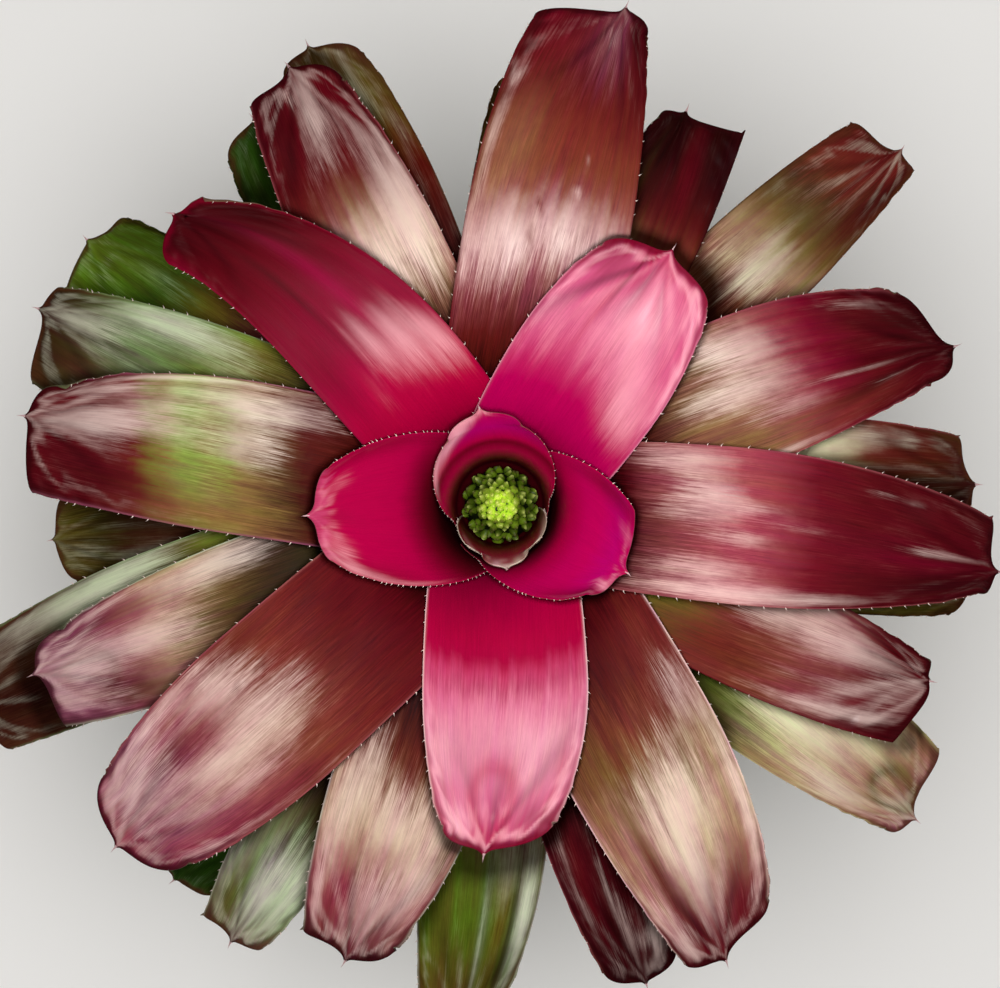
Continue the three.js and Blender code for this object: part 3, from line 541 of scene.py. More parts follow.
def leafSurface(leaf, t, v):
    # middle surface: t runs from seat to tip, v from the right margin (-1) to the left (1)
    curve = leaf["curve"]
    side = np.abs(v)
    back = np.where(v > 0, leaf["backLeft"], leaf["backRight"])
    notch = np.where(v > 0, leaf["notchLeft"], leaf["notchRight"])
    fall = leafSheet["pointFall"] * (1 - np.exp(-side / 0.1)) + notch * np.sin(np.pi * side)
    fall = fall + back * (1 - np.sqrt(np.maximum(0, 1 - side ** 2.4)))
    run = t * curve["length"]
    s = run - fall * t ** 6
    # the width follows the margin: it is looked up where the margin has the same distance along the leaf
    stations = np.linspace(0, 1, 400)
    station = np.zeros_like(s)
    for sign, corner in ((1, leaf["backLeft"]), (-1, leaf["backRight"])):
        margin = stations * curve["length"] - (leafSheet["pointFall"] + corner) * stations ** 6
        station = np.where(v * sign >= 0, np.interp(s, margin, stations), station)
    before = np.maximum(0, leaf["narrowFrom"] - station) / leaf["narrowFrom"]
    after = np.maximum(0, station - leaf["narrowFrom"]) / (1 - leaf["narrowFrom"])
    free = leaf["half"] * (1 - 0.06 * before ** 2 - leaf["narrowing"] * after ** 2)
    if leaf["rank"] < len(sheathFlare):
        # the wide sheaths of the heart leaves close the cup
        sheath = smooth((curve["wallEnd"] + leafSheet["sheathFrom"] - run) / leafSheet["sheathOver"])
        free = free * (1 + sheathFlare[leaf["rank"]] * sheath)
    wrapped = np.interp(run, curve["s"], curve["radius"]) * math.radians(leaf["wrap"])
    shift = leaf["shift"] * t ** 3
    across = np.minimum(free, wrapped) * (v + shift) / (1 + shift * v)
    radius = np.interp(s, curve["s"], curve["radius"])
    angle = np.radians(leaf["direction"] + leaf["swing"] * t ** 3) + across / radius
    opened = smooth((run - curve["wallEnd"]) / leafSheet["openOver"])
    # channelled across, leaning to one side by a share that differs from leaf to leaf, and cupped at the tip
    leaning = leafSheet["lean"] * math.sin(2.4 * leaf["rank"]) * across
    raised = opened * (leafSheet["channel"] * v * v + leaning)
    raised = raised + leafSheet["spoon"] * v * v * smooth((t - leafSheet["tipFrom"]) / leafSheet["tipOver"])
    height = leafSheet["soilTop"] + np.interp(s, curve["s"], curve["height"]) + raised
    return np.stack([radius * np.cos(angle), radius * np.sin(angle), height], -1)


def normalsOf(grid):
    # unit normals of a grid of points, from the differences along its rows and columns
    along = np.gradient(grid, axis=0)
    across = np.gradient(grid, axis=1)
    up = np.cross(along, across)
    return up / np.maximum(np.linalg.norm(up, axis=-1, keepdims=True), 1e-9)


def tipEdge(leaf, t, v):
    # The end of a blade is turned down in a narrow lip, and the bend inside it catches the light; the lip is
    # also painted dark as shade and the bend pale as a highlight. Both follow the outline: they are widest at
    # the end, narrow at the point, and thin out back along the two margins.
    random = np.random.default_rng(700 + leaf["rank"])
    back = (1 - t) * leaf["curve"]["length"] + 0.001
    aside = (1 - np.abs(v)) * leaf["half"] * 0.8 + 0.001
    gap = (back ** -2 + aside ** -2) ** -0.5
    wander = v * leaf["half"] - np.sign(v) * back
    wave = sum(np.sin(2 * np.pi * wander / random.uniform(*span) + random.uniform(0, 2 * np.pi))
               for span in leafSheet["lipWaves"]) / 2
    sideLip = leafSheet["sideLip"]
    width = leafSheet["lipWidth"] * leaf["small"]
    width = width * (sideLip + (1 - sideLip) * np.exp(-back / leafSheet["sideFrom"]))
    width = width * (1 + leafSheet["lipWaver"] * wave)
    width = width * (1 - leafSheet["pointThin"] * np.exp(-(v / leafSheet["pointWidth"]) ** 2))
    width = width + leafSheet["lipLeast"]
    fade = np.exp(-back / leafSheet["lipReach"])
    lip = 1 - smooth((gap - 0.4 * width) / (0.8 * width))
    ridge = np.exp(-((gap - 1.7 * width) / (0.7 * width)) ** 2) * fade
    strength = leaf["looks"].get("lipStrength", 1)
    return strength * lip * fade, strength * ridge


def tipRays(leaf, t, v):
    # folds that run back from the point and spread out, by turns raised and sunk
    random = np.random.default_rng(900 + leaf["rank"])
    back = (1 - t) * leaf["curve"]["length"] / (leafSheet["rayReach"] * leaf["small"])
    rays = np.zeros_like(back * v)
    count = leafSheet["rays"]
    for k in range(count):
        spread = (k + 0.5 + random.uniform(-0.25, 0.25)) / count
        spread = spread * leafSheet["rayFan"] - leafSheet["rayFan"] / 2
        fade = smooth((1.3 - back * random.uniform(0.6, 1.3)) / 0.9)
        height = random.uniform(0.5, 1) * (-1) ** k
        line = spread * np.minimum(back, 1.6) ** 0.8
        width = leafSheet["rayWidth"] + leafSheet["rayWiden"] * back
        rays = rays + height * np.exp(-((v - line) / width) ** 2) * fade
    return rays * leaf["looks"].get("lipStrength", 1)


def leafRelief(leaf, t, v, radius, random):
    # Height along the normal: slow waves over the free blade, ripples of the margin that grow towards the
    # tip, folds that meet at the point, a lip that turns down at the very end, and the leaf's own dents.
    curve, small = leaf["curve"], leaf["small"]
    run = t * curve["length"]
    across = v * leaf["half"]
    opened = smooth((run - curve["wallEnd"] - leafSheet["reliefFrom"]) / leafSheet["reliefOver"])
    relief = np.zeros_like(run * v)
    for turn in range(leafSheet["waves"]):
        along, aside = random.uniform(*leafSheet["waveAlong"]), random.uniform(*leafSheet["waveAcross"])
        phase = random.uniform(0, 2 * np.pi)
        relief = relief + np.sin(2 * np.pi * (run / along + random.choice([-1, 1]) * across / aside) + phase)
    relief = relief * opened * leafSheet["waveHeight"] * small * (0.7 + 0.9 * smooth((t - 0.6) / 0.3))
    late = 0.12 + 0.88 * smooth((t - 0.6) / 0.35)
    for side in (-1, 1):
        length, phase = random.uniform(*leafSheet["rippleLength"]), random.uniform(0, 2 * np.pi)
        ripple = np.sin(2 * np.pi * run / length + phase)
        ripple = ripple * np.sin(2 * np.pi * run / (2.7 * length) + 2 * phase)
        margin = np.clip(side * v, 0, 1) ** 7
        relief = relief + margin * ripple * late * opened * leafSheet["rippleHeight"] * small
    back = np.clip((curve["length"] - run) / (leafSheet["foldReach"] * small), 0, 1)
    for spread in leafSheet["foldPlaces"]:
        line = spread * back * random.uniform(0.8, 1.3)
        depth = leafSheet["foldDepth"] * small * (1 if spread else 1.5)
        relief = relief - depth * smooth(1 - back) * np.exp(-((v - line) / leafSheet["foldWidth"]) ** 2)
    lip, ridge = tipEdge(leaf, t, v)
    relief = relief + small * (leafSheet["ridgeRise"] * ridge - leafSheet["lipDrop"] * lip)
    relief = relief + leafSheet["rayHeight"] * small * tipRays(leaf, t, v)
    for spot, offset, size, depth in leaf["looks"]["dents"]:
        # a flat-bottomed hollow with a low rim round it
        gap = np.hypot(radius - spot, (v - offset) * leaf["half"]) / size
        relief = relief - depth * np.exp(-gap ** 4) + 0.35 * depth * np.exp(-((gap - 1.25) / 0.25) ** 2)
    return relief


def ovalGap(distance, v, spot, offset, length, width):
    # squared distance from the middle of an oval, 1 where the oval ends
    return ((distance - spot) / length) ** 2 + ((v - offset) / width) ** 2


def blend(tint, name, mask):
    # the named colour laid over the tint
    return tint + (colour(name) - tint) * mask[..., None]


def leafTint(leaf, t, v, distance, radius):
    # bands by distance from the axis, then patches, rings, painted shade in the sunk folds and on the lip of
    # the tip, and the margin
    looks = leaf["looks"]
    stops = [stop[0] for stop in looks["bands"]]
    shades = np.array([colour(stop[1]) for stop in looks["bands"]])
    tint = np.stack([np.interp(distance, stops, shades[:, k]) for k in range(3)], -1)
    for *oval, name, strength in looks["patches"]:
        tint = blend(tint, name, np.exp(-ovalGap(distance, v, *oval)) * strength)
    for *oval, band, name, strength in looks["rings"]:
        gap = np.sqrt(ovalGap(radius, v, *oval))
        tint = blend(tint, name, np.exp(-((gap - 1) / band) ** 2) * strength)
    lip = tipEdge(leaf, t, v)[0]
    tint = tint * (1 - leafSheet["foldShade"] * np.clip(-tipRays(leaf, t, v), 0, 1))[..., None]
    tint = blend(tint, leaf["lip"], leafSheet["lipCover"] * lip)
    margin = smooth((np.abs(v) - leafSheet["marginFrom"]) / leafSheet["marginOver"])
    tint = blend(tint, looks["rim"], margin * leafSheet["marginCover"] * (1 - 0.75 * lip))
    # painted light: the outer parts of the plant are made paler and the inner ones darker, to make up for the
    # overhead lamp falling off towards the outside
    outer = np.minimum(1.2, distance / leafSheet["paintedLightOver"]) ** 2
    return tint * (leafSheet["innerLight"] + leafSheet["paintedLightGain"] * outer)[..., None]


def leafSheen(leaf, v, distance):
    # painted sheen: waves across the blade that drift slowly along it, only on the open part
    random = np.random.default_rng(500 + leaf["rank"])
    wave = np.zeros_like(v)
    for turns in leafSheet["sheenTurns"]:
        run = v * random.uniform(*turns) + distance / random.uniform(*leafSheet["sheenDrift"])
        wave = wave + np.sin(2 * np.pi * run + random.uniform(0, 2 * np.pi))
    opened = smooth((distance - leafSheet["sheenFrom"]) / leafSheet["sheenOver"])
    return opened * np.clip(1 + leafSheet["sheenSwing"] * wave, 0, 3)


def leafBloomAndHighlight(leaf, t, v, distance):
    # Long faint streaks of painted sheen and pale patches of bloom and painted highlight, which dark patches
    # rub out, then the painted gleam on the raised folds and on the bend inside the lip.
    looks = leaf["looks"]
    mask = looks.get("sheen", leaf["sheen"]) * leafSheen(leaf, v, distance)
    for *oval, strength in looks["bloom"]:
        mask = 1 - (1 - mask) * (1 - strength * np.exp(-ovalGap(distance, v, *oval)))
    for *oval, name, strength in looks["patches"]:
        if colour(name).sum() < leafSheet["darkSum"]:
            mask = mask * (1 - leafSheet["rubbedOut"] * strength * np.exp(-ovalGap(distance, v, *oval)))
    lip, ridge = tipEdge(leaf, t, v)
    gleam = looks.get("gleam", 1)
    rays = leafSheet["rayGleam"] * gleam * np.clip(tipRays(leaf, t, v), 0, 1)
    mask = 1 - (1 - mask) * (1 - leaf["gleam"] * gleam * ridge) * (1 - rays)
    return mask * (1 - lip)


spine = {"length": 1.6, "width": 0.46, "flat": 0.6, "hook": 0.8, "sides": 5, "sunk": 0.25,
         "sizes": (0.6, 1.15), "stations": (0.15, 0.6), "girth": (1.15, 0.8, 0.35), "firstAt": 6,
         "lastAt": 3, "gapJitter": (0.6, 1.4), "thornWidth": 1.3, "thornSunk": 1.5, "thornBend": 0.5,
         "thornLean": (-0.3, 0.3), "shades": (0.8, 1)}


def spineCones(root, outward, along, up, length, width):
    # rings of points round a line that runs out from the margin and bends towards the tip, and a point
    stations = np.array([-spine["sunk"] / spine["length"], *spine["stations"]])
    turn = np.arange(spine["sides"]) * 2 * np.pi / spine["sides"]
    bend = np.sign(stations) * stations ** 2 * spine["hook"]
    centre = outward[:, None] * stations[:, None] + along[:, None] * bend[:, None]
    centre = root[:, None] + length[:, None, None] * centre
    ring = np.cos(turn)[:, None] * along[:, None] + spine["flat"] * np.sin(turn)[:, None] * up[:, None]
    girth = np.array(spine["girth"])[:, None] * width[:, None, None]
    points = centre[:, :, None] + girth[..., None] * ring[:, None]
    tip = root + length[:, None] * (outward + along * spine["hook"])
    points = np.concatenate([points.reshape(len(root), -1, 3), centre[:, :1], tip[:, None]], 1)
    quads, fans = ringQuads(len(stations), spine["sides"]), endFans(len(stations), spine["sides"])
    return joined([(block, quads, fans) for block in points])


def leafSpines(leaf, random):
    # spines stand closest near the cup and the tip, and furthest apart in the middle of the blade
    curve = leaf["curve"]
    base, bulge = leaf["gaps"]
    places = []
    for side in (-1, 1):
        run = curve["wallEnd"] + spine["firstAt"]
        while run < curve["length"] - spine["lastAt"]:
            share = (run - curve["wallEnd"]) / (curve["length"] - curve["wallEnd"])
            places.append((run / curve["length"], side))
            gap = base + bulge * math.sin(math.pi * min(1, share))
            run += gap * random.uniform(*spine["gapJitter"])
    return np.array(places).T


def leafThorns(leaf, grid, normal, random):
    # spines, set on the margin as the relief left it, a longer thorn at the tip, and the colours of both
    spineT, spineSide = leafSpines(leaf, random)
    row = np.searchsorted(bladeRows, spineT).clip(1, len(bladeRows) - 1)
    mix = ((spineT - bladeRows[row - 1]) / (bladeRows[row] - bladeRows[row - 1]))[:, None]
    column = np.where(spineSide > 0, len(bladeColumns) - 1, 0)
    root = grid[row - 1, column] * (1 - mix) + grid[row, column] * mix
    along = grid[row, column] - grid[row - 1, column]
    along = along / np.linalg.norm(along, axis=1, keepdims=True)
    up = normal[row, column]
    outward = np.cross(up, along) * spineSide[:, None]
    size = random.uniform(*spine["sizes"], len(root)) * leaf["spineSize"]
    spines = spineCones(root, outward, along, up, spine["length"] * size, spine["width"] * size)
    middle = len(bladeColumns) // 2
    tipAlong = (grid[-1, middle] - grid[-4, middle])[None]
    tipAlong = tipAlong / np.linalg.norm(tipAlong)
    tipUp = normal[-2, middle][None]
    tipAside = np.cross(tipAlong, tipUp)
    tipBend = tipUp * spine["thornBend"] + tipAside * random.uniform(*spine["thornLean"])
    thorn = spineCones(grid[-1, middle][None] - tipAlong * spine["thornSunk"], tipAlong, tipBend, tipAside,
                       np.array([leaf["thorn"]]), np.array([spine["thornWidth"]]))
    shade = random.uniform(*spine["shades"], (len(root), 1)).repeat(len(spines[0]) // len(root), 0)
    tint = np.concatenate([colour("spine") * shade, np.tile(colour("blush") * 0.8, (len(thorn[0]), 1))])
    return joined([spines, thorn]), tint


def bladeGrid():
    # rows that are closer towards the tip, and places across that are closer towards the margins
    tipFrom, count = leafSheet["tipFrom"], leafSheet["halfColumns"]
    rows = np.concatenate([np.linspace(0, tipFrom, leafSheet["rows"], endpoint=False),
                           np.linspace(tipFrom, leafSheet["lastRow"], leafSheet["tipRows"]), [1]])
    half = 1 - (1 - np.arange(count + 1) / count) ** 1.5
    return rows, np.concatenate([-half[:0:-1], half])


bladeRows, bladeColumns = bladeGrid()


def whorlOf(index):
    # the slot that a leaf's rank puts it in
    return next(name for name, whorl in whorls.items() if index < whorl["ends"])


def makeLeaf(index):
    leaf = dict(zip(leafKeys, leafTable[index]), **whorls[whorlOf(index)])
    leaf.update(rank=index, looks=looksOf(index), curve=leafCurve(index, leaf["reach"]),
                small=min(1, leaf["reach"] / leafSheet["fullReach"]))
    random = np.random.default_rng(40 + index)
    t, v = np.meshgrid(bladeRows, bladeColumns, indexing="ij")
    grid = leafSurface(leaf, t, v)
    radius = np.hypot(grid[..., 0], grid[..., 1])
    grid = grid + normalsOf(grid) * leafRelief(leaf, t, v, radius, random)[..., None]
    normal = normalsOf(grid)
    thick = leafSheet["edgeThickness"] + (leafSheet["thickness"] - leafSheet["edgeThickness"]) * (1 - v ** 6)
    blade = closedSheet(grid + normal * thick[..., None] / 2, grid - normal * thick[..., None] / 2)
    # Colours are worked out twice, for places a little nearer the axis and a little further out, and the
    # fibres choose between the two, so that bands, bloom and painted highlights end in streaks. The underside
    # is duller.
    ragged = sum(np.sin(np.pi * v * k + random.uniform(0, 2 * np.pi)) for k in leafSheet["streaks"]) / 2
    distance = radius + leaf["looks"].get("tilt", 0) * v
    distance = distance + leafSheet["ragged"] * ragged * smooth((radius - 40) / 60)
    grade = leafSheet["grade"] * smooth((radius - 50) / 60)
    thorns, thornTint = leafThorns(leaf, grid, normal, random)
    bare = np.zeros(len(thornTint))
    values = {}
    under = leafSheet["underside"]
    for side, ending in ((-1, ""), (1, "Far")):
        tint = leafTint(leaf, t, v, distance + side * grade, radius).reshape(-1, 3)
        bloom = leafBloomAndHighlight(leaf, t, v, distance + side * grade).ravel()
        tint = np.concatenate([tint, tint * under + colour("scurf") * under, thornTint])
        values["tint" + ending] = np.clip(tint, 0, 1)
        values["bloom" + ending] = np.concatenate([bloom, bloom * under, bare])
    values["skin"] = np.concatenate([np.ones(len(blade[0])), bare])
    # metres across and along the blade, moved a little for each leaf so that no two share their fibres
    uv = np.stack([v * leaf["half"], t * leaf["curve"]["length"]], -1).reshape(-1, 2) * metre
    uv = np.concatenate([uv, uv + leafSheet["uvUnder"], np.zeros((len(bare), 2))])
    uv = uv + index * np.array(leafSheet["uvStep"])
    return buildMesh(f"blade{index + 1:02d}", joined([blade, thorns]), values, uv)


# ---- node groups shared by several materials
def newGroup(name, inputs, outputs):
    # the kind of each input and output goes by its title
    group = bpy.data.node_groups.new(name, "ShaderNodeTree")
    for way, sockets in (("INPUT", inputs), ("OUTPUT", outputs)):
        for title, kind in sockets.items():
            group.interface.new_socket(name=title, in_out=way, socket_type="NodeSocket" + kind)
    return group, group.nodes.new("NodeGroupInput").outputs, group.nodes.new("NodeGroupOutput").inputs


def feed(tree, socket, value):
    # a plain value is set on the socket, and a node's output is linked to it
    if isinstance(value, (int, float, tuple)):
        socket.default_value = value
    else:
        tree.links.new(value, socket)


def addNode(tree, kind, inputs=None, **settings):
    # settings come before inputs, because some of them decide which inputs there are
    node = tree.nodes.new("ShaderNode" + kind)
    for key, value in settings.items():
        setattr(node, key, value)
    for key, value in (inputs or {}).items():
        feed(tree, node.inputs[key], value)
    return node


def mathNode(tree, operation, *values, clamp=False):
    return addNode(tree, "Math", dict(enumerate(values)), operation=operation, use_clamp=clamp).outputs[0]


def mixColour(tree, factor, first, second, blendType="MIX"):
    # inputs 6 and 7 are the two colours, and output 2 is their mix
    inputs = {0: factor, 6: first, 7: second}
    return addNode(tree, "Mix", inputs, data_type="RGBA", blend_type=blendType).outputs[2]


def noise(tree, vector, scale, detail, rough):
    inputs = {"Vector": vector, "Scale": scale, "Detail": detail, "Roughness": rough}
    return addNode(tree, "TexNoise", inputs).outputs["Fac"]


def brighten(tree, tint, level):
    return addNode(tree, "VectorMath", {0: tint, "Scale": level}, operation="SCALE").outputs[0]


# noise over the blade: how often it changes in a metre across and along, its detail and its roughness
fibres = {"Fine": ((1450, 42, 1), 3, 0.7), "Broad": ((700, 24, 1), 3, 0.65), "Wide": ((160, 9, 1), 2, 0.5),
          "Mottle": ((95, 45, 1), 5, 0.62), "Grain": ((1500, 500, 1), 1, 0.5)}
fibreHeight = {"Fine": 0.6, "Grain": 0.25, "Broad": 0.9}


def fibreGroup():
    # long streaks that follow the blade: fine fibres, broad streaks, wide bands, and soft round mottling
    titles = ("Fine", "Broad", "Wide", "Mottle", "Height")
    group, given, out = newGroup("bladeFibre", {"Vector": "Vector"}, dict.fromkeys(titles, "Float"))
    found = {}
    for title, (often, detail, rough) in fibres.items():
        vector = addNode(group, "VectorMath", {0: given["Vector"], 1: often}, operation="MULTIPLY").outputs[0]
        found[title] = noise(group, vector, 1, detail, rough)
    fine, grain, broad = (mathNode(group, "MULTIPLY", found[title], fibreHeight[title])
                          for title in ("Fine", "Grain", "Broad"))
    found["Height"] = mathNode(group, "ADD", mathNode(group, "ADD", fine, grain), broad)
    for title in titles:
        feed(group, out[title], found[title])
    return group


skinMix = {"fine": 0.68, "broad": 0.32, "swing": 4.2, "wide": 2.2, "wideShare": 0.35, "blotch": 1.6,
           "darkest": 0.25, "choice": 1.3, "drift": 0.9, "hueShare": 2, "purple": (1.1, 0.8, 1.12, 1),
           "olive": (0.92, 1.24, 0.78, 1), "streakEdge": 0.65, "blotchEdge": 0.8, "coverFrom": 0.02,
           "coverFull": 1.1, "coverMost": 0.9, "coverGain": 4, "brightest": (2.6, 2.6, 2.6, 1),
           "brightShare": 0.25, "coat": 0.25, "mottleRough": 0.25, "coverRough": -0.12,
           "bump": 0.35, "bumpDistance": 0.0004}


def skinGroup(fibre):
    # leaf colour: the tint, darkened and lightened by the fibres, under pale bloom and painted highlight with
    # streaky edges
    group, given, out = newGroup("bladeSkin", {
        "Vector": "Vector", "Tint": "Color", "Far tint": "Color", "Bloom and highlight": "Float", "Far bloom and highlight": "Float",
        "Skin": "Float", "Bloom and highlight colour": "Color", "Streak": "Float", "Roughness": "Float",
    }, {"Colour": "Color", "Roughness": "Float", "Coat": "Float", "Height": "Float"})
    use = addNode(group, "Group", {"Vector": given["Vector"]}, node_tree=fibre).outputs

    def work(operation, *values, clamp=False):
        return mathNode(group, operation, *values, clamp=clamp)

    def swung(value, gain):
        # noise is 0.5 on average, and becomes a swing about 0
        return work("MULTIPLY", work("SUBTRACT", value, 0.5), gain)

    streak = work("MULTIPLY", given["Streak"], given["Skin"])
    pair = work("ADD", work("MULTIPLY", use["Fine"], skinMix["fine"]),
                work("MULTIPLY", use["Broad"], skinMix["broad"]))
    wide = swung(use["Wide"], skinMix["wide"])
    blotch = swung(use["Mottle"], skinMix["blotch"])
    swing = work("ADD", swung(pair, skinMix["swing"]), work("MULTIPLY", wide, skinMix["wideShare"]))
    streaked = work("MULTIPLY", swing, streak)
    level = work("MULTIPLY_ADD", work("ADD", swing, blotch), streak, 1)
    level = work("MAXIMUM", level, skinMix["darkest"])
    choice = work("MULTIPLY_ADD", streaked, skinMix["choice"], 0.5, clamp=True)
    tint = mixColour(group, choice, given["Tint"], given["Far tint"])
    # the hue drifts between purple and olive
    drift = work("MULTIPLY_ADD", work("ADD", wide, blotch), skinMix["drift"], 0.5, clamp=True)
    hue = mixColour(group, drift, skinMix["purple"], skinMix["olive"])
    tint = mixColour(group, work("MULTIPLY", streak, skinMix["hueShare"]), tint, hue, "MULTIPLY")
    # bloom and painted highlight, with edges broken up by the fibres and the mottling
    bloom = work("MULTIPLY_ADD", work("SUBTRACT", given["Far bloom and highlight"], given["Bloom and highlight"]), choice, given["Bloom and highlight"])
    broken = work("MULTIPLY_ADD", streaked, skinMix["streakEdge"], bloom)
    broken = work("MULTIPLY_ADD", work("MULTIPLY", blotch, streak), skinMix["blotchEdge"], broken)
    cover = addNode(group, "MapRange", {"Value": broken, "From Min": skinMix["coverFrom"],
                                        "From Max": skinMix["coverFull"], "To Max": skinMix["coverMost"]},
                    interpolation_type="SMOOTHSTEP").outputs["Result"]
    cover = work("MULTIPLY", cover, work("MINIMUM", work("MULTIPLY", bloom, skinMix["coverGain"]), 1))
    bright = mixColour(group, 1, tint, skinMix["brightest"], "MULTIPLY")
    pale = mixColour(group, skinMix["brightShare"], given["Bloom and highlight colour"], bright)
    feed(group, out["Colour"], mixColour(group, cover, brighten(group, tint, level), pale))
    feed(group, out["Coat"], work("MULTIPLY", cover, skinMix["coat"]))
    rough = work("SUBTRACT", use["Mottle"], 0.5)
    rough = work("MULTIPLY_ADD", rough, skinMix["mottleRough"], given["Roughness"])
    feed(group, out["Roughness"], work("MULTIPLY_ADD", cover, skinMix["coverRough"], rough))
    feed(group, out["Height"], work("MULTIPLY", use["Height"], given["Skin"]))
    return group


def newMaterial(name, rough=0.5):
    material = bpy.data.materials.new(name)
    material.use_nodes = True
    shader = material.node_tree.nodes["Principled BSDF"].inputs
    shader["Roughness"].default_value = rough
    return material, material.node_tree, shader


def attribute(tree, name, output):
    return addNode(tree, "Attribute", attribute_name=name).outputs[output]


def linkBump(tree, shader, height, strength, distance):
    # relief that only tilts the normal
    bump = addNode(tree, "Bump", {"Height": height, "Strength": strength, "Distance": distance})
    feed(tree, shader["Normal"], bump.outputs["Normal"])


def leafMaterial(whorl, skin):
    material, tree, shader = newMaterial(whorl["skin"])
    use = addNode(tree, "Group", {
        "Vector": addNode(tree, "UVMap", uv_map="blade").outputs["UV"],
        "Tint": attribute(tree, "tint", "Color"), "Far tint": attribute(tree, "tintFar", "Color"),
        "Bloom and highlight": attribute(tree, "bloom", "Fac"), "Far bloom and highlight": attribute(tree, "bloomFar", "Fac"),
        "Skin": attribute(tree, "skin", "Fac"), "Bloom and highlight colour": (*colour(whorl["bloom"]), 1),
        "Streak": whorl["streak"], "Roughness": whorl["rough"],
    }, node_tree=skin).outputs
    feed(tree, shader["Base Color"], use["Colour"])
    feed(tree, shader["Roughness"], use["Roughness"])
    feed(tree, shader["Coat Weight"], use["Coat"])
    linkBump(tree, shader, use["Height"], skinMix["bump"], skinMix["bumpDistance"])
    shader["Coat Roughness"].default_value = 0.28
    shader["Specular IOR Level"].default_value = 0.03
    return material


skin = skinGroup(fibreGroup())
leafFinish = {slot: leafMaterial(whorl, skin) for slot, whorl in whorls.items()}
for index in range(len(leafTable)):
    slotName = whorlOf(index)
    place(makeLeaf(index), slotName, leafFinish[slotName], f"leaf_{index + 1:02d}")
print("leaves", len(leafTable))

# ---- flower head: a low dome of pointed buds that lean out more and more towards its edge
head = {"radius": 25, "foot": 49.3, "rim": 74, "top": 94, "buds": 132, "budRadius": 3.4, "budLength": 13,
        "sides": 12, "rings": 9, "creases": 3, "creaseTwist": 1.6, "creaseDepth": 0.3,
        "lean": 58, "leanJitter": (-22, 14), "turn": 137.508, "turnJitter": (-8, 8),
        "seat": -2, "seatJitter": (-1.6, 1), "radiusJitter": (-0.9, 0.9), "lengthJitter": (0.88, 1.12),
        "widthJitter": (0.75, 1.15), "curl": (0.02, 0.03), "coreSides": 48, "coreRadii": (19, 15, 10, 5),
        "cupHeights": [173, 181, 190], "cupRadii": [21.4, 23.7, 24.3], "cupEase": 2}


def headHeight(radius):
    # a dome that is nearly flat in the middle and falls towards its rim
    part = np.minimum(1, radius / head["radius"])
    return head["rim"] + (head["top"] - head["rim"]) * (1 - part ** 2.2) * 0.8


def tucked(out, side, rise):
    # what would reach the cup's wall is drawn in, so that it stays just inside
    reach = np.hypot(out, side)
    limit = np.interp(rise, head["cupHeights"], head["cupRadii"]) - head["cupEase"]
    past = np.maximum(0, reach - limit)
    tuck = np.minimum(1, (limit + head["cupEase"] * np.tanh(past / head["cupEase"])) / np.maximum(reach, 1))
    tuck = np.where(past > 0, tuck, 1)
    return out * tuck, side * tuck


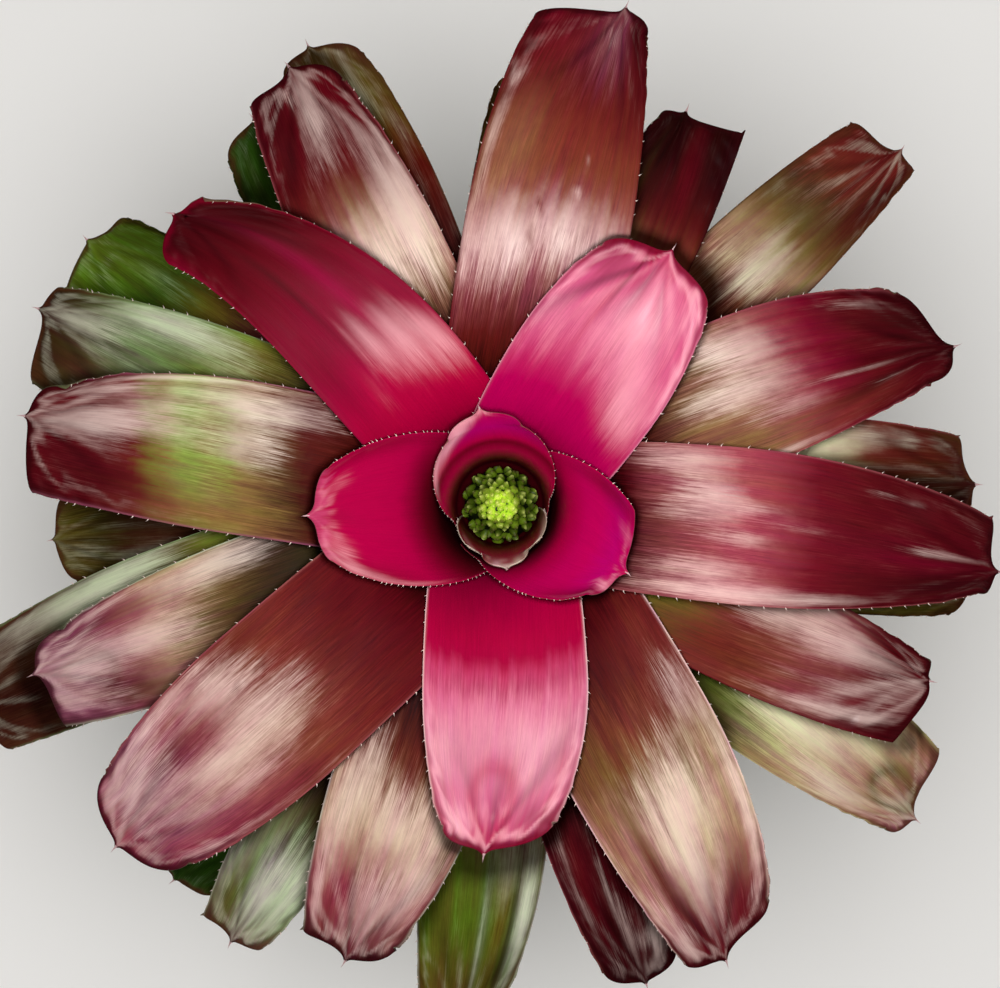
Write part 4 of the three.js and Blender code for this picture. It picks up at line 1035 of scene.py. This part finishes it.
def makeBud(index, random):
    # A bud along +Z: its radius follows a sine that is widest below the middle, with three creases that
    # twist round it between its sepals. Then it is bent, leaned outward and set on the dome. The buds follow
    # a spiral from the middle (part 0) to the edge (part 1).
    u = np.linspace(0, 0.97, head["rings"])[:, None]
    turn = (np.arange(head["sides"]) * 2 * np.pi / head["sides"])[None, :]
    girth = np.sin(np.pi * (0.12 + 0.88 * u) ** 1.02) ** 0.65
    crease = np.cos(head["creases"] / 2 * (turn + head["creaseTwist"] * u))
    girth = girth * (1 - head["creaseDepth"] * (1 - np.abs(crease)) ** 2)
    part = math.sqrt(index / (head["buds"] - 1))
    radius = (head["radius"] - 1.5) * part + random.uniform(*head["radiusJitter"]) * min(1, 2 * part)
    length = head["budLength"] * (0.95 + 0.1 * part) * random.uniform(*head["lengthJitter"])
    width = head["budRadius"] * random.uniform(*head["widthJitter"]) * (0.88 + 0.06 * part)
    spin = random.uniform(0, 2 * np.pi)
    x = girth * width * np.cos(turn + spin) * (1 - 0.25 * part)
    y = girth * width * np.sin(turn + spin) * (1 + 0.2 * part)
    z = np.broadcast_to((u - 0.75) * length, x.shape)
    ends = np.array([[0, 0, -0.75 * length], [0, 0, 0.27 * length]])
    bud = np.concatenate([np.stack([x, y, z], -1).reshape(-1, 3), ends])
    curlOut, curlAside = head["curl"]
    bud[:, 0] += curlOut * (bud[:, 2] + length * 0.3) ** 2 * random.uniform(-0.8, 0.8)
    bud[:, 1] += curlAside * (bud[:, 2] + length * 0.3) ** 2 * random.uniform(-0.9, 0.9) * part
    lean = math.radians(head["lean"] * part ** 1.2 + random.uniform(*head["leanJitter"]))
    angle = math.radians(head["turn"] * index + random.uniform(*head["turnJitter"]))
    out = bud[:, 0] * math.cos(lean) + bud[:, 2] * math.sin(lean) + radius
    rise = bud[:, 2] * math.cos(lean) - bud[:, 0] * math.sin(lean) + float(headHeight(radius))
    rise = rise + head["seat"] + random.uniform(*head["seatJitter"]) + leafSheet["soilTop"]
    out, side = tucked(out, bud[:, 1], rise)
    points = np.stack([out * math.cos(angle) - side * math.sin(angle),
                       out * math.sin(angle) + side * math.cos(angle), rise], 1)
    # a foot painted dark as the shade between the buds, a bright flank, both painted darker towards the
    # dome's edge as its shade, and a tip that turns brown on some of the outer buds
    outer = smooth((part - 0.25) / 0.45)
    flank = colour("budBright") * (1 - outer) + colour("budOuter") * outer
    flank = flank * random.uniform(0.8 - 0.45 * outer, 1.2)
    foot = colour("budDeep") * (1 - outer) + colour("budDark") * outer
    level = np.append(np.repeat(u, head["sides"]), [0, 1])[:, None]
    shade = foot + (flank - foot) * smooth((level - 0.3 - 0.15 * outer) / 0.42)
    tip = colour("bark") if random.uniform() < 0.5 * outer else colour("bud") * (1 - 0.45 * outer)
    return points, shade + (tip - shade) * smooth((level - 0.82) / 0.15) * 0.7


def makeHead():
    random = np.random.default_rng(7)
    buds = [makeBud(index, random) for index in range(head["buds"])]
    quads, fans = ringQuads(head["rings"], head["sides"]), endFans(head["rings"], head["sides"])
    # the core that the buds stand on
    rim = head["radius"] - 3
    profile = [(7, head["foot"]), (16, head["foot"] + 7.5), (rim, head["rim"] - 9), (rim, head["rim"] - 3)]
    profile += [(r, float(headHeight(r)) - 4) for r in head["coreRadii"]]
    profile = [(r, z + leafSheet["soilTop"]) for r, z in [(0, head["foot"]), *profile, (0, profile[-1][1])]]
    core = turnedShape(profile, head["coreSides"])
    # the core is painted near black, as the shade under the buds
    tint = np.concatenate([shade for points, shade in buds] + [np.tile(colour("budDark"), (len(core[0]), 1))])
    return buildMesh("flowerHead", joined([(points, quads, fans) for points, shade in buds] + [core]),
                     {"tint": np.clip(tint, 0, 1)})


def headMaterial():
    material, tree, shader = newMaterial("budSkin", 0.4)
    shader["Specular IOR Level"].default_value = 0.15
    fine = noise(tree, addNode(tree, "TexCoord").outputs["Object"], 900, 3, 0.6)
    level = mathNode(tree, "MULTIPLY_ADD", fine, 0.7, 0.65)
    feed(tree, shader["Base Color"], brighten(tree, attribute(tree, "tint", "Color"), level))
    linkBump(tree, shader, fine, 0.3, 0.0004)
    return material


place(makeHead(), "flower_head", headMaterial(), "flower_head")
print("flower head", head["buds"])

# ---- pot, soil and stem, turned shapes
pot = {"height": 124, "topRadius": 80, "footRadius": 59, "wall": 1.8, "floor": 2.4, "lip": 4, "lipDepth": 13,
       "drains": 6, "drainRadius": 5, "drainCircle": 37, "drillDepth": 12, "drillSides": 32, "sides": 128}
soil = {"gap": 0.4, "hole": 24.4, "depth": 26, "rings": 40, "sides": 160, "roughness": 1.1, "waves": 26,
        "waveRadius": (0.2, 1.5), "waveTurns": (3, 60)}
stem = {"foot": 24, "depth": 26, "top": 49, "seat": 0.9, "sides": 64, "rings": 40, "ringed": (3, 46.8),
        "scarDepth": 0.35, "scars": 1.9}


def potRadius(z):
    # outside of the wall, which widens evenly from the foot to the top
    return pot["footRadius"] + (pot["topRadius"] - pot["footRadius"]) * z / pot["height"]


def rounded(corners, steps=4):
    # each corner (radius, height, bevel) becomes an arc that starts and ends that far from it
    points = []
    for k, (r, z, bevel) in enumerate(corners):
        if bevel == 0:
            points.append((r, z))
            continue
        here = np.array([r, z], float)
        before = np.array(corners[k - 1][:2], float) - here
        after = np.array(corners[k + 1][:2], float) - here
        a = here + before / np.linalg.norm(before) * min(bevel, np.linalg.norm(before) * 0.45)
        b = here + after / np.linalg.norm(after) * min(bevel, np.linalg.norm(after) * 0.45)
        for q in np.linspace(0, 1, steps):
            points.append(tuple(a * (1 - q) ** 2 + 2 * here * q * (1 - q) + b * q ** 2))
    return points


def makePot():
    # from the middle of the underside to the foot, up the wall, over the lip, and down inside to the floor
    height, top, lip = pot["height"], pot["topRadius"], pot["topRadius"] + pot["lip"]
    lipFoot = height - pot["lipDepth"]
    inside = top - pot["wall"]
    corners = [(0, 0, 0), (pot["footRadius"] - 6, 0, 0), (pot["footRadius"], 0, 1.6), (potRadius(8), 8, 0),
               (potRadius(lipFoot), lipFoot, 1), (potRadius(lipFoot) + pot["lip"], lipFoot + 1.5, 1.2),
               (lip, height - 1, 0.9), (lip - 1, height, 0.5), (inside + 0.6, height, 0.5),
               (inside, height - 0.6, 0.4), (potRadius(pot["floor"]) - pot["wall"], pot["floor"], 0.5),
               (20, pot["floor"], 0), (0, pot["floor"], 0)]
    piece = buildMesh("nurseryPot", turnedShape(rounded(corners), pot["sides"]))
    for k in range(pot["drains"]):
        angle = 2 * math.pi * k / pot["drains"]
        bpy.ops.mesh.primitive_cylinder_add(vertices=pot["drillSides"], radius=pot["drainRadius"] * metre,
                                            depth=pot["drillDepth"] * metre)
        drill = bpy.context.object
        reach = pot["drainCircle"] * metre
        drill.location = (reach * math.cos(angle), reach * math.sin(angle), 0)
        cut = piece.modifiers.new("drain", "BOOLEAN")
        cut.object = drill
        cut.solver = "EXACT"
        bpy.context.view_layer.update()
        cutMesh = bpy.data.meshes.new_from_object(piece.evaluated_get(bpy.context.evaluated_depsgraph_get()))
        piece.modifiers.clear()
        piece.data = cutMesh
        bpy.data.objects.remove(drill)
    return piece


def makeSoil():
    foot = pot["floor"] + soil["gap"]
    inside = pot["wall"] + soil["gap"]
    top = leafSheet["soilTop"]
    rim = potRadius(top - 4) - inside
    # the surface falls a little from the stem to the rim
    corners = [(0, foot), (potRadius(foot) - inside, foot), (rim, top - 4.2)]
    for r in np.linspace(rim - 1.2, soil["hole"], soil["rings"]):
        corners.append((r, top - 1.2 - 2.6 * smooth((r - 38) / 40)))
    holeFloor = top - soil["depth"] - soil["gap"]
    corners += [(soil["hole"], holeFloor), (0, holeFloor)]
    random = np.random.default_rng(3)
    waves = [(random.uniform(*soil["waveRadius"]), random.integers(*soil["waveTurns"]),
              random.uniform(0, 6.3)) for wave in range(soil["waves"])]

    def crumble(radius, height, ring):
        # crumbs: many small waves in radius and angle, only on the open surface
        bumps = sum(np.sin(often * radius + turns * ring + phase) for often, turns, phase in waves) / 5
        surface = smooth((radius - soil["hole"] - 1) / 3) * smooth((rim - 1 - radius) / 2)
        surface = surface * (height > top - 6)
        return radius, height + soil["roughness"] * bumps * surface * 0.7 - 0.3 * surface
    return buildMesh("pottingMix", turnedShape(corners, soil["sides"], crumble))


def makeStem():
    # a cone that narrows the way the seats of the leaves do, with a shallow notch for each old leaf
    heights = leafFamily["baseHeight"][::-1]
    radii = leafFamily["baseRadius"][::-1]
    top = leafSheet["soilTop"]
    profile = [(0, top - stem["depth"]), (stem["foot"], top - stem["depth"]), (stem["foot"], top - 1)]
    for z in np.linspace(*stem["ringed"], stem["rings"]):
        notch = stem["scarDepth"] * abs(math.sin(z * stem["scars"]))
        profile.append((np.interp(z, heights, radii) - stem["seat"] - notch, top + z))
    profile += [(profile[-1][0] - 0.6, top + stem["top"]), (0, top + stem["top"])]
    return buildMesh("leafBase", turnedShape(profile, stem["sides"]))


def plainMaterial(name, light, dark, scale, rough, bumpStrength, bumpDistance):
    # two colours mixed by noise on the object's own coordinates, with the same noise as relief
    material, tree, shader = newMaterial(name, rough)
    value = noise(tree, addNode(tree, "TexCoord").outputs["Object"], scale, 5, 0.62)
    ramp = addNode(tree, "MapRange", {"Value": value, "From Min": 0.35, "From Max": 0.65}).outputs["Result"]
    feed(tree, shader["Base Color"], mixColour(tree, ramp, (*colour(dark), 1), (*colour(light), 1)))
    feed(tree, shader["Roughness"], mathNode(tree, "MULTIPLY_ADD", value, 0.25, rough - 0.12))
    linkBump(tree, shader, value, bumpStrength, bumpDistance)
    return material


place(makePot(), "pot", plainMaterial("potPlastic", "potLight", "potDark", 260, 0.5, 0.12, 0.0003), "pot")
place(makeSoil(), "soil", plainMaterial("barkMix", "soilLight", "soilDark", 240, 0.92, 0.9, 0.0015), "soil")
place(makeStem(), "stem", plainMaterial("stemSkin", "stemLight", "stemDark", 120, 0.7, 0.5, 0.0008), "stem")
print("pot, soil and stem")


# ---- floor, lights and camera
def makeFloor(size):
    mesh = bpy.data.meshes.new("floor")
    corners = [(-size, -size, 0), (size, -size, 0), (size, size, 0), (-size, size, 0)]
    mesh.from_pydata(corners, [], [(0, 1, 2, 3)])
    piece = bpy.data.objects.new("floor", mesh)
    bpy.context.scene.collection.objects.link(piece)
    material, tree, shader = newMaterial("paleFloor", 0.75)
    shader["Base Color"].default_value = (*colour("floor"), 1)
    mesh.materials.append(material)
    return piece


def areaLight(name, location, size, power, gloss, lit):
    # a disk that faces a point just over the pot and lights only the pieces in lit, or all where that is None
    light = bpy.data.lights.new(name, "AREA")
    light.shape = "DISK"
    light.size = size
    light.energy = power
    lamp = bpy.data.objects.new(name, light)
    bpy.context.scene.collection.objects.link(lamp)
    lamp.location = location
    away = np.array(location, float) - [0, 0, 0.2]
    away = away / np.linalg.norm(away)
    flat = math.hypot(away[0], away[1])
    lamp.rotation_euler = (math.atan2(flat, away[2]), 0, math.atan2(away[1], away[0]) + math.pi / 2)
    lamp.visible_camera = False
    lamp.visible_glossy = gloss
    if lit is not None:
        receivers = bpy.data.collections.new(name + "Lit")
        for piece in lit:
            receivers.objects.link(piece)
        lamp.light_linking.receiver_collection = receivers


plant = [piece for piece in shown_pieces() if piece.type == "MESH"]
floor = makeFloor(3)
# name, location, size, power, whether gloss shows it, and what it lights; the low ones fill the undersides
for lamp in [("overhead", (0, 0.01, 0.72), 0.1, 2.25, True, plant),
             ("floorWash", (0, 0, 1.6), 2.2, 29, False, [floor]),
             ("leftBox", (-1.5, 0.6, 1.5), 1.2, 3.5, False, None),
             ("rightBox", (1.5, -0.7, 1.4), 1.2, 3, False, None),
             ("lowLeft", (-1.5, -0.8, 0.25), 0.9, 9, False, plant),
             ("lowRight", (1.5, -0.6, 0.25), 0.9, 9, False, plant),
             ("lowBack", (0.2, 1.6, 0.25), 0.9, 9, False, plant)]:
    areaLight(*lamp)

world = bpy.data.worlds.new("studio")
bpy.context.scene.world = world
world.use_nodes = True
world.cycles_visibility.glossy = False
sky = world.node_tree
ambient = sky.nodes["Background"]
ambient.inputs["Color"].default_value = (1.0, 0.97, 0.94, 1)
ambient.inputs["Strength"].default_value = 0.1
# behind the object the backdrop is paler than the light it gives
backdrop = addNode(sky, "Background", {"Color": (0.36, 0.355, 0.345, 1)})
seen = addNode(sky, "LightPath").outputs["Is Camera Ray"]
mixed = addNode(sky, "MixShader", {0: seen, 1: ambient.outputs[0], 2: backdrop.outputs[0]})
feed(sky, sky.nodes["World Output"].inputs["Surface"], mixed.outputs[0])

view = {"height": 1.5, "shiftNorth": 0.0066, "focalPixels": 2116.7, "frameWidth": 1000, "sensor": 36}
lens = bpy.data.cameras.new("overheadLens")
lens.sensor_width = view["sensor"]
lens.sensor_fit = "HORIZONTAL"
lens.lens = view["focalPixels"] / view["frameWidth"] * view["sensor"]
camera = bpy.data.objects.new("overheadCamera", lens)
bpy.context.scene.collection.objects.link(camera)
camera.location = (0, view["shiftNorth"], view["height"])
bpy.context.scene.camera = camera
bpy.context.scene.view_settings.view_transform = "Standard"

print("faces", sum(len(piece.data.polygons) for piece in plant))
